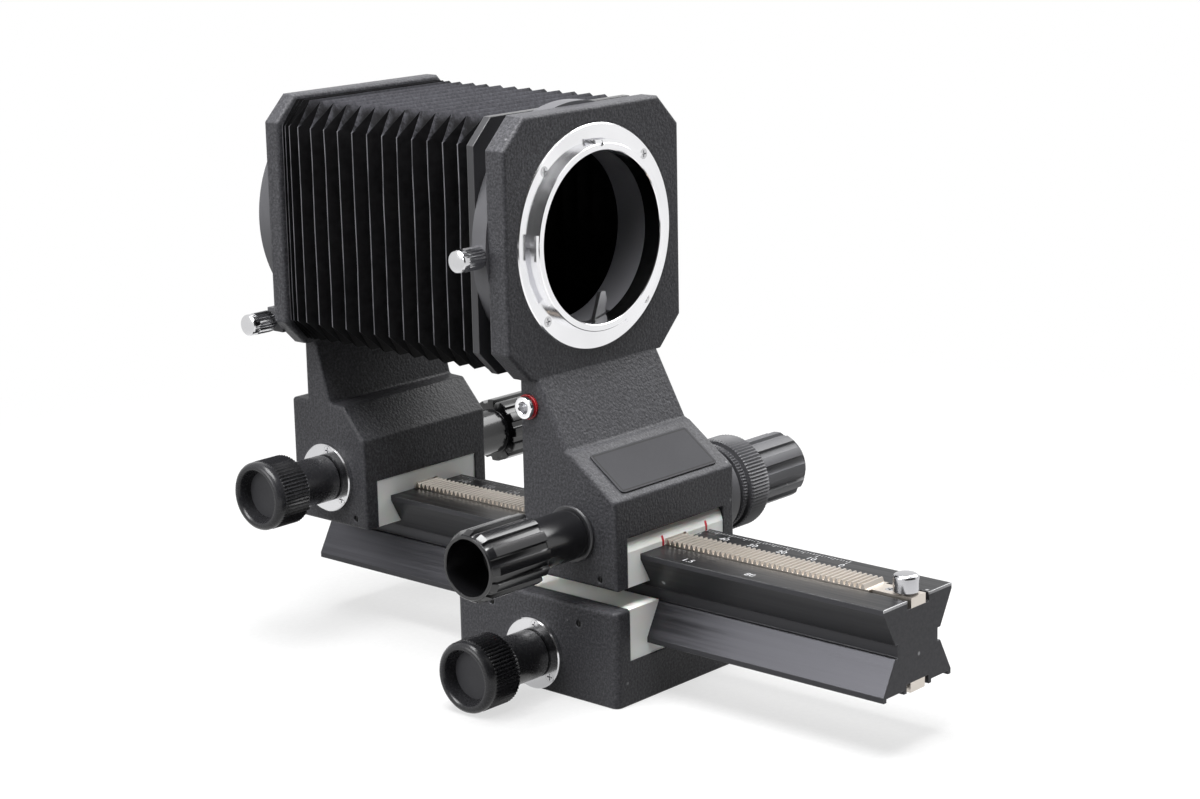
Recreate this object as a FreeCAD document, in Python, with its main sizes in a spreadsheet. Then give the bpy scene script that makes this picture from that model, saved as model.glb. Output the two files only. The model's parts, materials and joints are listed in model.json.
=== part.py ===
import FreeCAD, Part
import Sketcher
import math
import os

# Macro bellows unit, millimetres, +Z up, lens side towards -Y.
# Origin: centre of the tripod socket in the carriage's bottom face.

document = FreeCAD.newDocument("MacroBellows")
sheet = document.addObject("Spreadsheet::Sheet", "Sizes")

DRIVING = {
    # rail: hourglass section, slots for the racks
    "rail_half": 15.0,
    "rail_bottom": 15.8,
    "rail_height": 24.8,
    "rail_front": -108.4,
    "rail_rear": 101.0,
    "rail_edge": 1.5,
    "waist_half": 8.8,
    "waist_step": 1.2,
    "waist_band": 3.6,
    "slot_half": 4.9,
    "slot_deep": 2.4,
    "lip_width": 1.2,
    "lip_deep": 1.0,
    "slide_gap": 0.05,
    # edges and clearances shared by many pieces
    "small_edge": 0.3,
    "fine_edge": 0.2,
    "screw_end_gap": 0.3,
    # rack and pinion
    "tooth_module": 0.534,
    "tooth_count": 17,
    "backlash": 0.12,
    "pitch_rise_modules": 1.8,
    "root_modules": 1.25,
    "rack_side_gap": 0.6,
    "rack_gap": 0.3,
    "rack_tail_half": 3.2,
    "rack_tail_long": 12.4,
    "rack_tail_rear": 6.2,
    "rack_screw_front": 8.6,
    "rack_screw_rear": 4.0,
    "pinion_inset": 0.3,
    "shaft_radius": 2.0,
    "bore_gap": 0.05,
    "chamber_gap": 0.5,
    "chamber_floor_gap": 0.2,
    "shaft_clear": 0.25,
    "shaft_in_knob": 5.0,
    "screw_radius": 0.8,
    "screw_head_radius": 1.4,
    "screw_head_deep": 0.9,
    "rack_screw_long": 5.0,
    # stop post
    "post_radius": 3.4,
    "post_tall": 4.8,
    "post_setback": 3.9,
    "post_neck_radius": 1.7,
    "post_neck_gap": 0.5,
    "post_deep": 7.0,
    "post_dome": 1.1,
    "post_dome_in": 1.6,
    # carriage
    "carriage_half": 28.0,
    "carriage_half_long": 30.0,
    "carriage_lip": 0.7,
    "carriage_wall": 5.7,
    "carriage_floor": 12.4,
    "carriage_corner": 2.0,
    "liner_inset": 0.2,
    "tripod_radius": 3.175,
    "tripod_bush_wall": 2.825,
    "tripod_roof": 0.427,
    "grub_radius": 1.0,
    "grub_long": 3.0,
    "grub_deep": 3.6,
    "grub_slot_wide": 0.35,
    "grub_slot_deep": 0.5,
    "grub_spacing": 21.0,
    "carriage_grub_y": 16.3,
    "carriage_grub_z": 21.8,
    # both standards
    "standard_half": 25.4,
    "standard_lift": 2.2,
    "standard_wall": 4.9,
    "window_rise": 5.6,
    "casting_edge": 1.0,
    "hollow_foot": 0.8,
    "hollow_middle_in": 1.0,
    "hollow_middle_down": 1.6,
    "hollow_top_in": 2.4,
    "lens_axis_z": 122.84,
    # front standard
    "front_face": -28.0,
    "front_back": 5.7,
    "front_face_top": 57.0,
    "front_slope_end_y": -12.6,
    "front_slope_end_z": 68.1,
    "front_neck_y": -10.8,
    "front_neck_z": 68.7,
    "front_axis_y": -12.6,
    "front_panel_y": -0.5,
    "front_panel_thick": 6.4,
    "front_panel_half": 35.9,
    "front_panel_foot_out": 2.1,
    "front_neck_overlap": 3.0,
    "front_neck_rise": 0.2,
    "front_grub_y": -22.2,
    "front_grub_rise": 2.5,
    # rear standard
    "rear_face": 68.9,
    "rear_back": 99.0,
    "rear_face_top": 59.0,
    "rear_slope_end_y": 77.3,
    "rear_slope_end_z": 68.3,
    "rear_neck_y": 82.7,
    "rear_neck_z": 68.5,
    "rear_axis_y": 84.2,
    "rear_panel_y": 87.7,
    "rear_panel_thick": 4.7,
    "rear_panel_half": 36.3,
    "rear_panel_foot_out": 3.55,
    "rear_neck_overlap": 1.0,
    "rear_grub_y": 73.4,
    "rear_grub_rise": 2.8,
    # turned pieces on the shafts
    "bush_radius": 3.45,
    "bush_inset": 0.1,
    "washer_radius": 8.0,
    "washer_thick": 1.2,
    "flange_radius": 10.15,
    "flange_thick": 1.6,
    "flange_boss_wall": 1.4,
    "flange_screw_circle": 8.6,
    "flange_screw_long": 4.0,
    "flange_web": 1.4,
    "spigot_radius": 4.0,
    "spigot_gap": 0.5,
    "stem_radius": 6.9,
    "running_gap": 0.2,
    "lock_stem_long": 14.4,
    "lock_body_long": 12.6,
    "lock_body_radius": 10.1,
    "lock_rim": 2.8,
    "lock_dish_deep": 4.6,
    "lock_cap_thick": 0.6,
    "drive_stem_long": 17.6,
    "drive_body_long": 22.0,
    "drive_radius": 9.85,
    "drive_wall": 2.05,
    "drive_bore_deep": 14.0,
    "flute_count": 12,
    "flute_radius": 1.3,
    "flute_out": 0.325,
    "knob_edge": 0.8,
    "boss_radius": 13.0,
    "boss_thick": 6.6,
    "boss_spigot_radius": 8.0,
    "boss_edge": 0.6,
    "boss_end_gap": 0.6,
    "lock_ring_radius": 13.5,
    "lock_ring_gap": 2.0,
    "lock_ring_long": 11.4,
    "right_knob_gap": 0.4,
    "right_knob_stem": 0.4,
    "right_knob_long": 22.2,
    # lens mount
    "throat_radius": 24.0,
    "mount_seat": 5.35,
    "mount_thick": 3.0,
    "mount_proud": 0.3,
    "mount_lip_wall": 2.0,
    "mount_lip_proud": 2.6,
    "mount_lug_out": 1.1,
    "mount_lug_thick": 0.8,
    "lug_root": 0.4,
    "mount_screw_in": 2.4,
    "mount_screw_long": 4.4,
    "mount_pin_radius": 0.8,
    "mount_pin_proud": 2.2,
    "barrel_out": 1.95,
    "barrel_wall": 1.65,
    "barrel_rear": 12.6,
    "barrel_slot_in": 4.3,
    # reversing disc and bellows frames
    "disc_out": 1.0,
    "disc_thick": 5.1,
    "frame_inset": 0.7,
    "frame_chamfer": 7.0,
    "frame_thick": 2.4,
    "frame_gap": 1.05,
    "lock_screw_drop": 1.24,
    "screw_knob_radius": 3.2,
    "screw_knob_long": 9.0,
    "screw_knob_stem": 1.5,
    "screw_knob_edge": 0.5,
    "screw_knob_grip": 4.5,
    "screw_knob_stand": 1.5,
    # bellows
    "bellows_inset": 0.2,
    "bellows_fold_deep": 6.4,
    "bellows_wall": 0.5,
    "bellows_gap": 0.05,
    "bellows_folds": 15,
    # nameplate
    "plate_half": 20.3,
    "plate_start": 2.2,
    "plate_long": 14.6,
    "plate_thick": 0.4,
    "plate_corner": 1.4,
    # release and diaphragm lever
    "socket_y": 2.5,
    "socket_drop": 10.2,
    "socket_radius": 3.1,
    "socket_proud": 2.5,
    "socket_bore": 1.55,
    "socket_tube": 2.4,
    "socket_deep": 6.0,
    "release_ring_radius": 3.5,
    "release_ring_thick": 0.7,
    "plunger_radius": 0.9,
    "plunger_head_radius": 1.4,
    "plunger_head_long": 1.2,
    "plunger_tip_x": -4.4,
    "plunger_travel": 3.0,
    "plunger_end_gap": 0.6,
    "plunger_head_gap": 0.3,
    "lever_front": 2.6,
    "lever_thick": 1.2,
    "lever_pivot_x": 1.5,
    "lever_pivot_gap": 1.14,
    "lever_pin_radius": 0.9,
    "lever_pin_deep": 1.5,
    "lever_pin_proud": 0.6,
    "lever_gap": 0.3,
    "lever_eye": 0.7,
    "lever_foot_half": 1.1,
    "lever_foot_low": 1.4,
    "lever_tip_x": 6.2,
    "lever_tip_drop": 16.64,
    "lever_width": 3.4,
    "lever_foot_x": -2.3,
    "lever_pocket_left": -6.0,
    "lever_pocket_right": 9.0,
    "lever_pocket_drop": 3.8,
    "cover_thick": 0.7,
    "cover_border": 2.0,
    "cover_ear": 4.0,
    "cover_head_deep": 0.7,
    "cover_screw_long": 3.2,
    "cover_screw_out": 1.6,
    "cover_screw_up": 1.0,
    # camera mount
    "housing_wall": 3.8,
    "housing_long": 6.2,
    "ring_gap": 0.1,
    "camera_ring_wall": 6.5,
    "camera_ring_proud": 1.4,
    "bayonet_rim": 4.1,
    "bayonet_thick": 1.6,
    "bayonet_lug_out": 1.9,
    "bayonet_tube_radius": 24.5,
    "bayonet_tube_wall": 1.9,
    "bayonet_tube_long": 4.6,
    "bayonet_lug_thick": 1.4,
    "bayonet_screw_out": 2.4,
    "bayonet_screw_long": 3.4,
    "ring_lock_drop": 29.44,
    "ring_lug_left": -33.5,
    "ring_lug_right": -20.0,
    "ring_lug_half": 3.4,
    }

# angles in degrees, and how far a cutting tool reaches past the face it opens
PRESSURE_ANGLE = 20
FLANGE_FIRST_SCREW = 80
MOUNT_LUG_ANGLES = (51, 66, 80, 95)
BAYONET_LUG_ANGLES = (60, 80, 100, 120)
NEAR = 0.01
PAST = 1.0

for row, (word, number) in enumerate(DRIVING.items(), 1):
    sheet.set("A%d" % row, word)
    sheet.set("B%d" % row, str(number))
    sheet.setAlias("B%d" % row, word)
document.recompute()


class Size:
    """A length or count that keeps both its number and the sheet expression that it follows."""

    def __init__(self, number, text):
        self.number = float(number)
        self.text = text

    def __float__(self):
        return self.number

    def __add__(self, other):
        other = sized(other)
        return Size(self.number + other.number, "(%s + %s)" % (self.text, other.text))

    def __sub__(self, other):
        other = sized(other)
        return Size(self.number - other.number, "(%s - %s)" % (self.text, other.text))

    def __mul__(self, other):
        other = sized(other)
        return Size(self.number * other.number, "(%s * %s)" % (self.text, other.text))

    def __truediv__(self, other):
        other = sized(other)
        return Size(self.number / other.number, "(%s / %s)" % (self.text, other.text))

    def __neg__(self):
        return Size(-self.number, "(0 - %s)" % self.text)

    def __radd__(self, other):
        return sized(other) + self

    def __rsub__(self, other):
        return sized(other) - self

    def __rmul__(self, other):
        return sized(other) * self


def sized(item):
    return item if isinstance(item, Size) else Size(item, repr(float(item)))


def root(item):
    return Size(math.sqrt(float(item)), "sqrt(%s)" % item.text)


class Sheet:
    """The sheet's driving dimensions by name."""


s = Sheet()
for word in DRIVING:
    setattr(s, word, Size(sheet.get(word), "Sizes." + word))

# sizes that follow from the driving ones
rack_half = s.slot_half - s.rack_side_gap
pinion_half = rack_half - s.pinion_inset
tripod_bush_radius = s.tripod_radius + s.tripod_bush_wall
window_half = s.standard_half - s.standard_wall
bush_long = s.standard_wall - s.bush_inset
front_panel_chamfer = s.front_panel_half - s.standard_half - s.front_panel_foot_out
rear_panel_chamfer = s.rear_panel_half - s.standard_half - s.rear_panel_foot_out
flange_boss_radius = s.spigot_radius + s.bore_gap + s.flange_boss_wall
lock_dish_radius = s.lock_body_radius - s.lock_rim
drive_bore_radius = s.drive_radius - s.drive_wall
lock_ring_start = s.standard_half + s.boss_thick + s.lock_ring_gap
lock_ring_end = lock_ring_start + s.lock_ring_long
right_knob_start = lock_ring_end + s.right_knob_gap
right_knob_end = right_knob_start + s.right_knob_long
mount_lip_radius = s.throat_radius + s.mount_lip_wall
mount_lug_radius = mount_lip_radius + s.mount_lug_out
barrel_radius = s.throat_radius + s.barrel_out
barrel_inner = barrel_radius - s.barrel_wall
mount_radius = barrel_radius + s.mount_seat
mount_screw_circle = mount_radius - s.mount_screw_in
disc_radius = s.front_panel_half + s.disc_out
frame_half = s.front_panel_half - s.frame_inset
frame_opening = barrel_radius + s.frame_gap
bellows_ridge = frame_half - s.bellows_inset
bellows_valley = bellows_ridge - s.bellows_fold_deep
bellows_chamfer = s.frame_chamfer - s.bellows_inset
camera_ring_bore = s.bayonet_tube_radius + s.ring_gap
camera_ring_radius = camera_ring_bore + s.camera_ring_wall
housing_bore = camera_ring_radius + s.ring_gap
housing_radius = housing_bore + s.housing_wall
bayonet_radius = s.bayonet_tube_radius + s.bayonet_rim
bayonet_lug_radius = s.bayonet_tube_radius + s.bayonet_lug_out
bayonet_tube_bore = s.bayonet_tube_radius - s.bayonet_tube_wall
bayonet_screw_circle = s.bayonet_tube_radius + s.bayonet_screw_out
rail_top = s.rail_bottom + s.rail_height
rail_middle = s.rail_bottom + s.rail_height / 2
waist_high = rail_middle + s.waist_band / 2
waist_low = rail_middle - s.waist_band / 2
waist_edge = s.waist_half + s.waist_step
pitch_radius = s.tooth_module * s.tooth_count / 2
tip_radius = pitch_radius + s.tooth_module
pitch = s.tooth_module * math.pi
rack_pitch_rise = s.tooth_module * s.pitch_rise_modules
rack_root_rise = rack_pitch_rise - s.tooth_module * s.root_modules
rack_tip_rise = rack_pitch_rise + s.tooth_module
top_axis_z = rail_top + rack_pitch_rise + pitch_radius
low_axis_z = s.rail_bottom - rack_pitch_rise - pitch_radius
chamber_low = low_axis_z - tip_radius - s.chamber_floor_gap
tripod_deep = chamber_low - s.tripod_roof
carriage_tall = waist_low + s.carriage_lip
standard_bottom = waist_high + s.standard_lift
window_top = rail_top + s.window_rise
shaft_bore = s.shaft_radius + s.bore_gap
chamber_half_long = tip_radius + s.chamber_gap
chamber_half_wide = pinion_half + s.chamber_gap
rack_gap_half = rack_half + s.rack_gap
front_panel_back = s.front_panel_y + s.front_panel_thick
rear_panel_back = s.rear_panel_y + s.rear_panel_thick
front_panel_low = s.lens_axis_z - s.front_panel_half
rear_panel_low = s.lens_axis_z - s.rear_panel_half
mount_front = s.front_panel_y - s.mount_proud
mount_back = mount_front + s.mount_thick
disc_back = front_panel_back + s.disc_thick
frame_back = disc_back + s.frame_thick
screw_bore = s.screw_radius + s.bore_gap
head_bore = s.screw_head_radius + s.bore_gap
post_y = s.rail_front + s.post_setback
slope_long = root((s.front_slope_end_y - s.front_face) * (s.front_slope_end_y - s.front_face)
                  + (s.front_slope_end_z - s.front_face_top) * (s.front_slope_end_z - s.front_face_top))
slope_y = (s.front_slope_end_y - s.front_face) / slope_long
slope_z = (s.front_slope_end_z - s.front_face_top) / slope_long
shaft_left_lock = bush_long - s.flange_web
lock_screw_z = s.lens_axis_z - s.lock_screw_drop
lock_screw_y = front_panel_back + s.disc_thick / 2
lever_pivot_z = s.lens_axis_z - mount_radius - s.lever_pin_radius - s.lever_pivot_gap
socket_z = lever_pivot_z - s.socket_drop
lever_tip_z = s.lens_axis_z - s.lever_tip_drop
lever_pocket_low = socket_z - s.lever_pocket_drop
camera_ring_long = s.housing_long + s.camera_ring_proud - s.running_gap
ring_lock_z = s.lens_axis_z - s.ring_lock_drop
ring_lock_y = rear_panel_back + s.screw_knob_radius + s.running_gap


def bind(item, **paths):
    """Sets properties from sizes: item.Length follows paths["Length"]."""
    for path, size in paths.items():
        item.setExpression(path.replace("__", "."), sized(size).text)


def place(item, x=0, y=0, z=0, turn=None):
    """Puts an object at x, y, z, after a turn given as (axis, degrees)."""
    if turn:
        item.Placement = FreeCAD.Placement(FreeCAD.Vector(), FreeCAD.Rotation(FreeCAD.Vector(*turn[0]), turn[1]))
    for name, size in (("x", x), ("y", y), ("z", z)):
        item.setExpression("Placement.Base." + name, sized(size).text)


def new_body(label):
    body = document.addObject("PartDesign::Body", label)
    body.Label = label
    return body


def origin_part(body, role):
    return next(item for item in body.Origin.OriginFeatures if item.Role == role)


def new_sketch(body, plane, at):
    """An empty sketch on an origin plane, moved along X, Y or Z to the place at."""
    sketch = body.newObject("Sketcher::SketchObject", "Outline")
    sketch.AttachmentSupport = (origin_part(body, plane + "_Plane"), [""])
    sketch.MapMode = "FlatFace"
    along = -sized(at) if plane == "XZ" else sized(at)
    sketch.setExpression("AttachmentOffset.Base.z", along.text)
    return sketch


def pin(sketch, index, vertex, point):
    """Holds one point of a sketch at a place that follows the sheet."""
    for kind, size in (("DistanceX", point[0]), ("DistanceY", point[1])):
        size = sized(size)
        constraint = sketch.addConstraint(Sketcher.Constraint(kind, -1, 1, index, vertex, size.number))
        sketch.setExpression("Constraints[%d]" % constraint, size.text)


def add_polygon(sketch, points):
    """Adds a closed outline of straight lines through points."""
    first = sketch.GeometryCount
    count = len(points)
    corners = [FreeCAD.Vector(float(a), float(b), 0) for a, b in points]
    for number in range(count):
        sketch.addGeometry(Part.LineSegment(corners[number], corners[(number + 1) % count]), False)
    for number in range(count):
        following = first + (number + 1) % count
        sketch.addConstraint(Sketcher.Constraint("Coincident", first + number, 2, following, 1))
        pin(sketch, first + number, 1, points[number])


def add_circle(sketch, centre, radius):
    """Adds a circle to a sketch."""
    middle = FreeCAD.Vector(float(centre[0]), float(centre[1]), 0)
    index = sketch.addGeometry(Part.Circle(middle, FreeCAD.Vector(0, 0, 1), float(radius)), False)
    pin(sketch, index, 3, centre)
    constraint = sketch.addConstraint(Sketcher.Constraint("Radius", index, float(radius)))
    sketch.setExpression("Constraints[%d]" % constraint, sized(radius).text)


def add_outline(sketch, outline):
    """Outlines are lists of corners, or (centre, radius) for a circle."""
    if len(outline) == 2:
        add_circle(sketch, *outline)
    else:
        add_polygon(sketch, outline)


def pad(body, plane, start, end, *outlines):
    """Adds the outlines, from start to end along the plane's own axis."""
    low, long = sized(start), sized(end) - sized(start)
    sketch = new_sketch(body, plane, low)
    for outline in outlines:
        add_outline(sketch, outline)
    feature = body.newObject("PartDesign::Pad", "Pad")
    feature.Profile = sketch
    feature.Reversed = plane == "XZ"
    bind(feature, Length=long)
    return feature


def cut(body, plane, start, end, *outlines):
    """Takes the outlines away, from start to end along the plane's own axis."""
    low, long = sized(start), sized(end) - sized(start)
    sketch = new_sketch(body, plane, low)
    for outline in outlines:
        add_outline(sketch, outline)
    feature = body.newObject("PartDesign::Pocket", "Pocket")
    feature.Profile = sketch
    feature.Reversed = plane != "XZ"
    bind(feature, Length=long)
    return feature


def turn(body, profile, axis="X"):
    """Turns a closed (length, radius) profile about the body's own X or Y axis."""
    plane, line = {"X": ("XZ", "H_Axis"), "Y": ("YZ", "H_Axis")}[axis]
    sketch = new_sketch(body, plane, 0)
    add_polygon(sketch, profile)
    feature = body.newObject("PartDesign::Revolution", "Turned")
    feature.Profile = sketch
    feature.ReferenceAxis = (sketch, [line])
    feature.Angle = 360
    return feature


def spread(body, feature, axis, count):
    """Repeats a feature round an axis of the body."""
    pattern = body.newObject("PartDesign::PolarPattern", "Round")
    pattern.Originals = [feature]
    pattern.Axis = (origin_part(body, axis + "_Axis"), [""])
    pattern.Angle = 360
    bind(pattern, Occurrences=count)
    body.Tip = pattern
    return pattern


def soften(body, feature, radius, wanted):
    """Rounds the edges of the latest feature that wanted(edge) picks."""
    document.recompute()
    names = ["Edge%d" % number for number, edge in enumerate(feature.Shape.Edges, 1) if wanted(edge)]
    rounded = body.newObject("PartDesign::Fillet", "Rounding")
    rounded.Base = (feature, names)
    bind(rounded, Radius=radius)
    body.Tip = rounded
    return rounded


def rectangle(left, right, low, high):
    return [(left, low), (right, low), (right, high), (left, high)]


def eight_corners(centre_z, half, chamfer):
    """A square in X and Z with cut corners."""
    low, high = centre_z - half, centre_z + half
    return [(-half + chamfer, low), (half - chamfer, low), (half, low + chamfer), (half, high - chamfer),
            (half - chamfer, high), (-half + chamfer, high), (-half, high - chamfer), (-half, low + chamfer)]


def ring_places(count, radius, first_angle):
    """Places on a circle, as pairs of sizes."""
    angles = [math.radians(first_angle + number * 360 / count) for number in range(count)]
    return [(radius * math.cos(angle), radius * math.sin(angle)) for angle in angles]


# ---- rail ----

def mirrored(points):
    """A right-hand run of points and its left-hand image, as one closed outline."""
    return points + [(-a, b) for a, b in reversed(points)]


def rail_outline():
    low, high = s.rail_bottom, rail_top
    lip_inner = s.slot_half + s.lip_width
    lip_outer = s.rail_half - s.lip_width
    return mirrored([
        (s.slot_half, low + s.slot_deep), (s.slot_half, low), (lip_inner, low), (lip_inner, low + s.lip_deep),
        (lip_outer, low + s.lip_deep), (lip_outer, low), (s.rail_half, low), (s.rail_half, low + s.rail_edge),
        (waist_edge, waist_low), (s.waist_half, waist_low), (s.waist_half, waist_high), (waist_edge, waist_high),
        (s.rail_half, high - s.rail_edge), (s.rail_half, high), (s.slot_half, high),
        (s.slot_half, high - s.slot_deep)])


def rack_screw_ys():
    """Screws stand behind the post at the front, and near the end at the rear."""
    return (s.rail_front + s.rack_screw_front, s.rail_rear - s.rack_screw_rear)


def make_rail():
    body = new_body("rail")
    pad(body, "XZ", s.rail_front, s.rail_rear, rail_outline())
    top_floor, low_floor = rail_top - s.slot_deep, s.rail_bottom + s.slot_deep
    for y in rack_screw_ys():
        cut(body, "XY", top_floor - s.rack_screw_long, top_floor + PAST, ((0, y), screw_bore))
        cut(body, "XY", low_floor - PAST, low_floor + s.rack_screw_long, ((0, y), screw_bore))
    cut(body, "XY", rail_top - s.post_deep, rail_top, ((0, post_y), s.post_neck_radius + s.bore_gap))


def rack_shape(meeting_y):
    """A rack on the rail's top: its teeth leave a gap centred on meeting_y."""
    module, step = float(s.tooth_module), float(pitch)
    base, root_z = float(rail_top - s.slot_deep), float(rail_top + rack_root_rise)
    pitch_z, tip_z = float(rail_top + rack_pitch_rise), float(rail_top + rack_tip_rise)
    lean = math.tan(math.radians(PRESSURE_ANGLE))
    front = float(s.rail_front + s.rack_tail_long)
    rear = float(s.rail_rear - s.rack_tail_rear)
    half_foot = step / 4 + (pitch_z - root_z) * lean
    half_tip = step / 4 - (tip_z - pitch_z) * lean
    first = math.ceil((front + half_foot - meeting_y) / step - 0.5)
    last = math.floor((rear - half_foot - meeting_y) / step - 0.5)
    points = [(front, base), (front, root_z)]
    for number in range(first, last + 1):
        middle = meeting_y + (number + 0.5) * step
        points += [(middle - half_foot, root_z), (middle - half_tip, tip_z),
                   (middle + half_tip, tip_z), (middle + half_foot, root_z)]
    points += [(rear, root_z), (rear, base)]
    half = float(rack_half)
    corners = [FreeCAD.Vector(-half, y, z) for y, z in points]
    bar = Part.Face(Part.makePolygon(corners + corners[:1])).extrude(FreeCAD.Vector(2 * half, 0, 0))
    tail_half, tall = float(s.rack_tail_half), root_z - base
    ends = ((float(s.rail_front), front + module), (rear - module, float(s.rail_rear)))
    for start, end in ends:
        tail = Part.makeBox(2 * tail_half, end - start, tall, FreeCAD.Vector(-tail_half, start, base))
        bar = bar.fuse(tail)
    for y in rack_screw_ys():
        through = Part.makeCylinder(float(screw_bore), tall, FreeCAD.Vector(0, float(y), base))
        seat_z = root_z - float(s.screw_head_deep)
        seat = Part.makeCylinder(float(head_bore), float(s.screw_head_deep), FreeCAD.Vector(0, float(y), seat_z))
        bar = bar.cut(through.fuse(seat))
    return bar.removeSplitter()


def make_racks():
    front_y = float(s.front_axis_y)
    top = rack_shape(front_y)
    low, high = float(rail_top - s.slot_deep) - PAST, float(rail_top + rack_tip_rise) + PAST
    neck = Part.makeCylinder(float(s.post_neck_radius + s.bore_gap), high - low,
                             FreeCAD.Vector(0, float(post_y), low))
    part_feature("top_rack", top.cut(neck))
    low = rack_shape(0.0)
    part_feature("bottom_rack", low.mirror(FreeCAD.Vector(0, 0, float(rail_middle)), FreeCAD.Vector(0, 0, 1)))


def make_stop_post():
    body = new_body("stop_post")
    start = rack_root_rise
    under = start + s.post_neck_gap
    top = under + s.post_tall
    foot = s.running_gap - s.post_deep
    crown = []
    for angle in (0, 30, 60, 90):
        rise, shrink = math.sin(math.radians(angle)), 1 - math.cos(math.radians(angle))
        crown.append((top - s.post_dome * (1 - rise), s.post_radius - s.post_dome_in * shrink))
    turn(body, [(foot, 0), (foot, s.post_neck_radius), (under, s.post_neck_radius), (under, s.post_radius)]
         + crown + [(top, 0)])
    place(body, 0, post_y, rail_top, ((0, 1, 0), -90))


# ---- fasteners ----

def part_feature(label, shape):
    item = document.addObject("Part::Feature", label)
    item.Label = label
    item.Shape = shape
    return item


def cross_screw(long, head_deep=None):
    """A cross-head screw whose head's top is at z 0 and whose shank points down."""
    head_deep = float(s.screw_head_deep if head_deep is None else head_deep)
    head_radius, radius = float(s.screw_head_radius), float(s.screw_radius)
    head = Part.makeCylinder(head_radius, head_deep, FreeCAD.Vector(0, 0, -head_deep))
    shank = Part.makeCylinder(radius, long, FreeCAD.Vector(0, 0, -head_deep - long))
    screw = head.fuse(shank)
    wide, deep = head_radius * 0.3, head_deep * 0.5
    for size in ((head_radius * 1.4, wide), (wide, head_radius * 1.4)):
        slot = Part.makeBox(size[0], size[1], deep, FreeCAD.Vector(-size[0] / 2, -size[1] / 2, -deep))
        screw = screw.cut(slot)
    return screw


def grub_screw():
    """A slotted grub screw whose outer end is at z 0 and whose body points down."""
    radius, long = float(s.grub_radius - s.bore_gap), float(s.grub_long)
    screw = Part.makeCylinder(radius, long, FreeCAD.Vector(0, 0, -long))
    wide, deep = float(s.grub_slot_wide), float(s.grub_slot_deep)
    slot = Part.makeBox(2 * radius, wide, deep, FreeCAD.Vector(-radius, -wide / 2, -deep))
    return screw.cut(slot)


def fastener_group(label, screw, places, outward):
    """Copies of one screw at places, with their heads towards outward."""
    swing = FreeCAD.Rotation(FreeCAD.Vector(0, 0, 1), FreeCAD.Vector(*outward))
    copies = []
    for spot in places:
        copy = screw.copy()
        copy.Placement = FreeCAD.Placement(FreeCAD.Vector(*[float(value) for value in spot]), swing)
        copies.append(copy)
    return copies if label is None else part_feature(label, Part.makeCompound(copies))


def make_rack_screws():
    long = float(s.slot_deep + rack_root_rise - s.screw_head_deep + s.rack_screw_long - s.screw_end_gap)
    screw = cross_screw(long)
    top_z, low_z = rail_top + rack_root_rise, s.rail_bottom - rack_root_rise
    up = fastener_group(None, screw, [(0, y, top_z) for y in rack_screw_ys()], (0, 0, 1))
    down = fastener_group(None, screw, [(0, y, low_z) for y in rack_screw_ys()], (0, 0, -1))
    part_feature("rack_screws", Part.makeCompound(up + down))


# ---- pieces on the shafts, modelled along +X from the lens plane outwards ----

def turned_piece(label, profile, axis_y, axis_z, side=1):
    """A piece turned about a line along X at axis_y, axis_z; side -1 puts it on the left."""
    body = new_body(label)
    turn(body, profile)
    place(body, 0, axis_y, axis_z, ((0, 0, 1), 0 if side > 0 else 180))
    return body


def make_bearing(label, wall, axis_y, axis_z, side):
    inner = wall - bush_long
    outer = wall + s.washer_thick
    edge = s.small_edge
    turned_piece(label, [
        (inner, shaft_bore), (inner, s.bush_radius), (wall, s.bush_radius), (wall, s.washer_radius),
        (outer - edge, s.washer_radius), (outer, s.washer_radius - edge), (outer, shaft_bore)], axis_y, axis_z, side)


def make_flange(label, wall, axis_y, axis_z):
    """Bright flange on the left wall: a boss holds the shaft's end, its bore takes the lock's spigot."""
    inner = wall - bush_long
    web = inner + s.flange_web
    face = wall + s.flange_thick
    bore = s.spigot_radius + s.bore_gap
    edge = s.small_edge
    body = turned_piece(label, [
        (inner, shaft_bore), (inner, flange_boss_radius), (wall, flange_boss_radius), (wall, s.flange_radius),
        (face - edge, s.flange_radius), (face, s.flange_radius - edge), (face, bore), (web, bore),
        (web, shaft_bore)], axis_y, axis_z, -1)
    for spot in flange_screw_places():
        cut(body, "YZ", wall - NEAR, face, (spot, screw_bore))
        cut(body, "YZ", face - s.screw_head_deep, face, (spot, head_bore))


def flange_screw_places():
    return ring_places(3, s.flange_screw_circle, FLANGE_FIRST_SCREW)


def make_flange_screws(label, wall, axis_y, axis_z):
    face = wall + s.flange_thick
    places = [(-face, axis_y - y, axis_z + z) for y, z in flange_screw_places()]
    fastener_group(label, cross_screw(float(s.flange_screw_long)), places, (-1, 0, 0))


def make_lock_knob(prefix, wall, axis_y, axis_z):
    start = wall + s.flange_thick + s.running_gap
    body_start = wall + s.flange_thick + s.lock_stem_long
    end = body_start + s.lock_body_long
    spigot_end = wall - bush_long + s.flange_web + s.spigot_gap
    edge = s.knob_edge
    turned_piece(prefix + "_lock_knob", [
        (spigot_end, 0), (spigot_end, s.spigot_radius), (start, s.spigot_radius), (start, s.stem_radius),
        (body_start, s.stem_radius), (body_start, s.lock_body_radius - edge), (body_start + edge, s.lock_body_radius),
        (end - edge, s.lock_body_radius), (end, s.lock_body_radius - edge), (end, lock_dish_radius),
        (end - s.lock_dish_deep, lock_dish_radius), (end - s.lock_dish_deep, 0)], axis_y, axis_z, -1)
    floor = end - s.lock_dish_deep
    cap = floor + s.lock_cap_thick
    rim = lock_dish_radius - s.bore_gap
    turned_piece(prefix + "_lock_cap", [
        (floor, 0), (floor, rim), (cap - s.fine_edge, rim), (cap, rim - s.fine_edge), (cap, 0)], axis_y, axis_z, -1)


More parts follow.
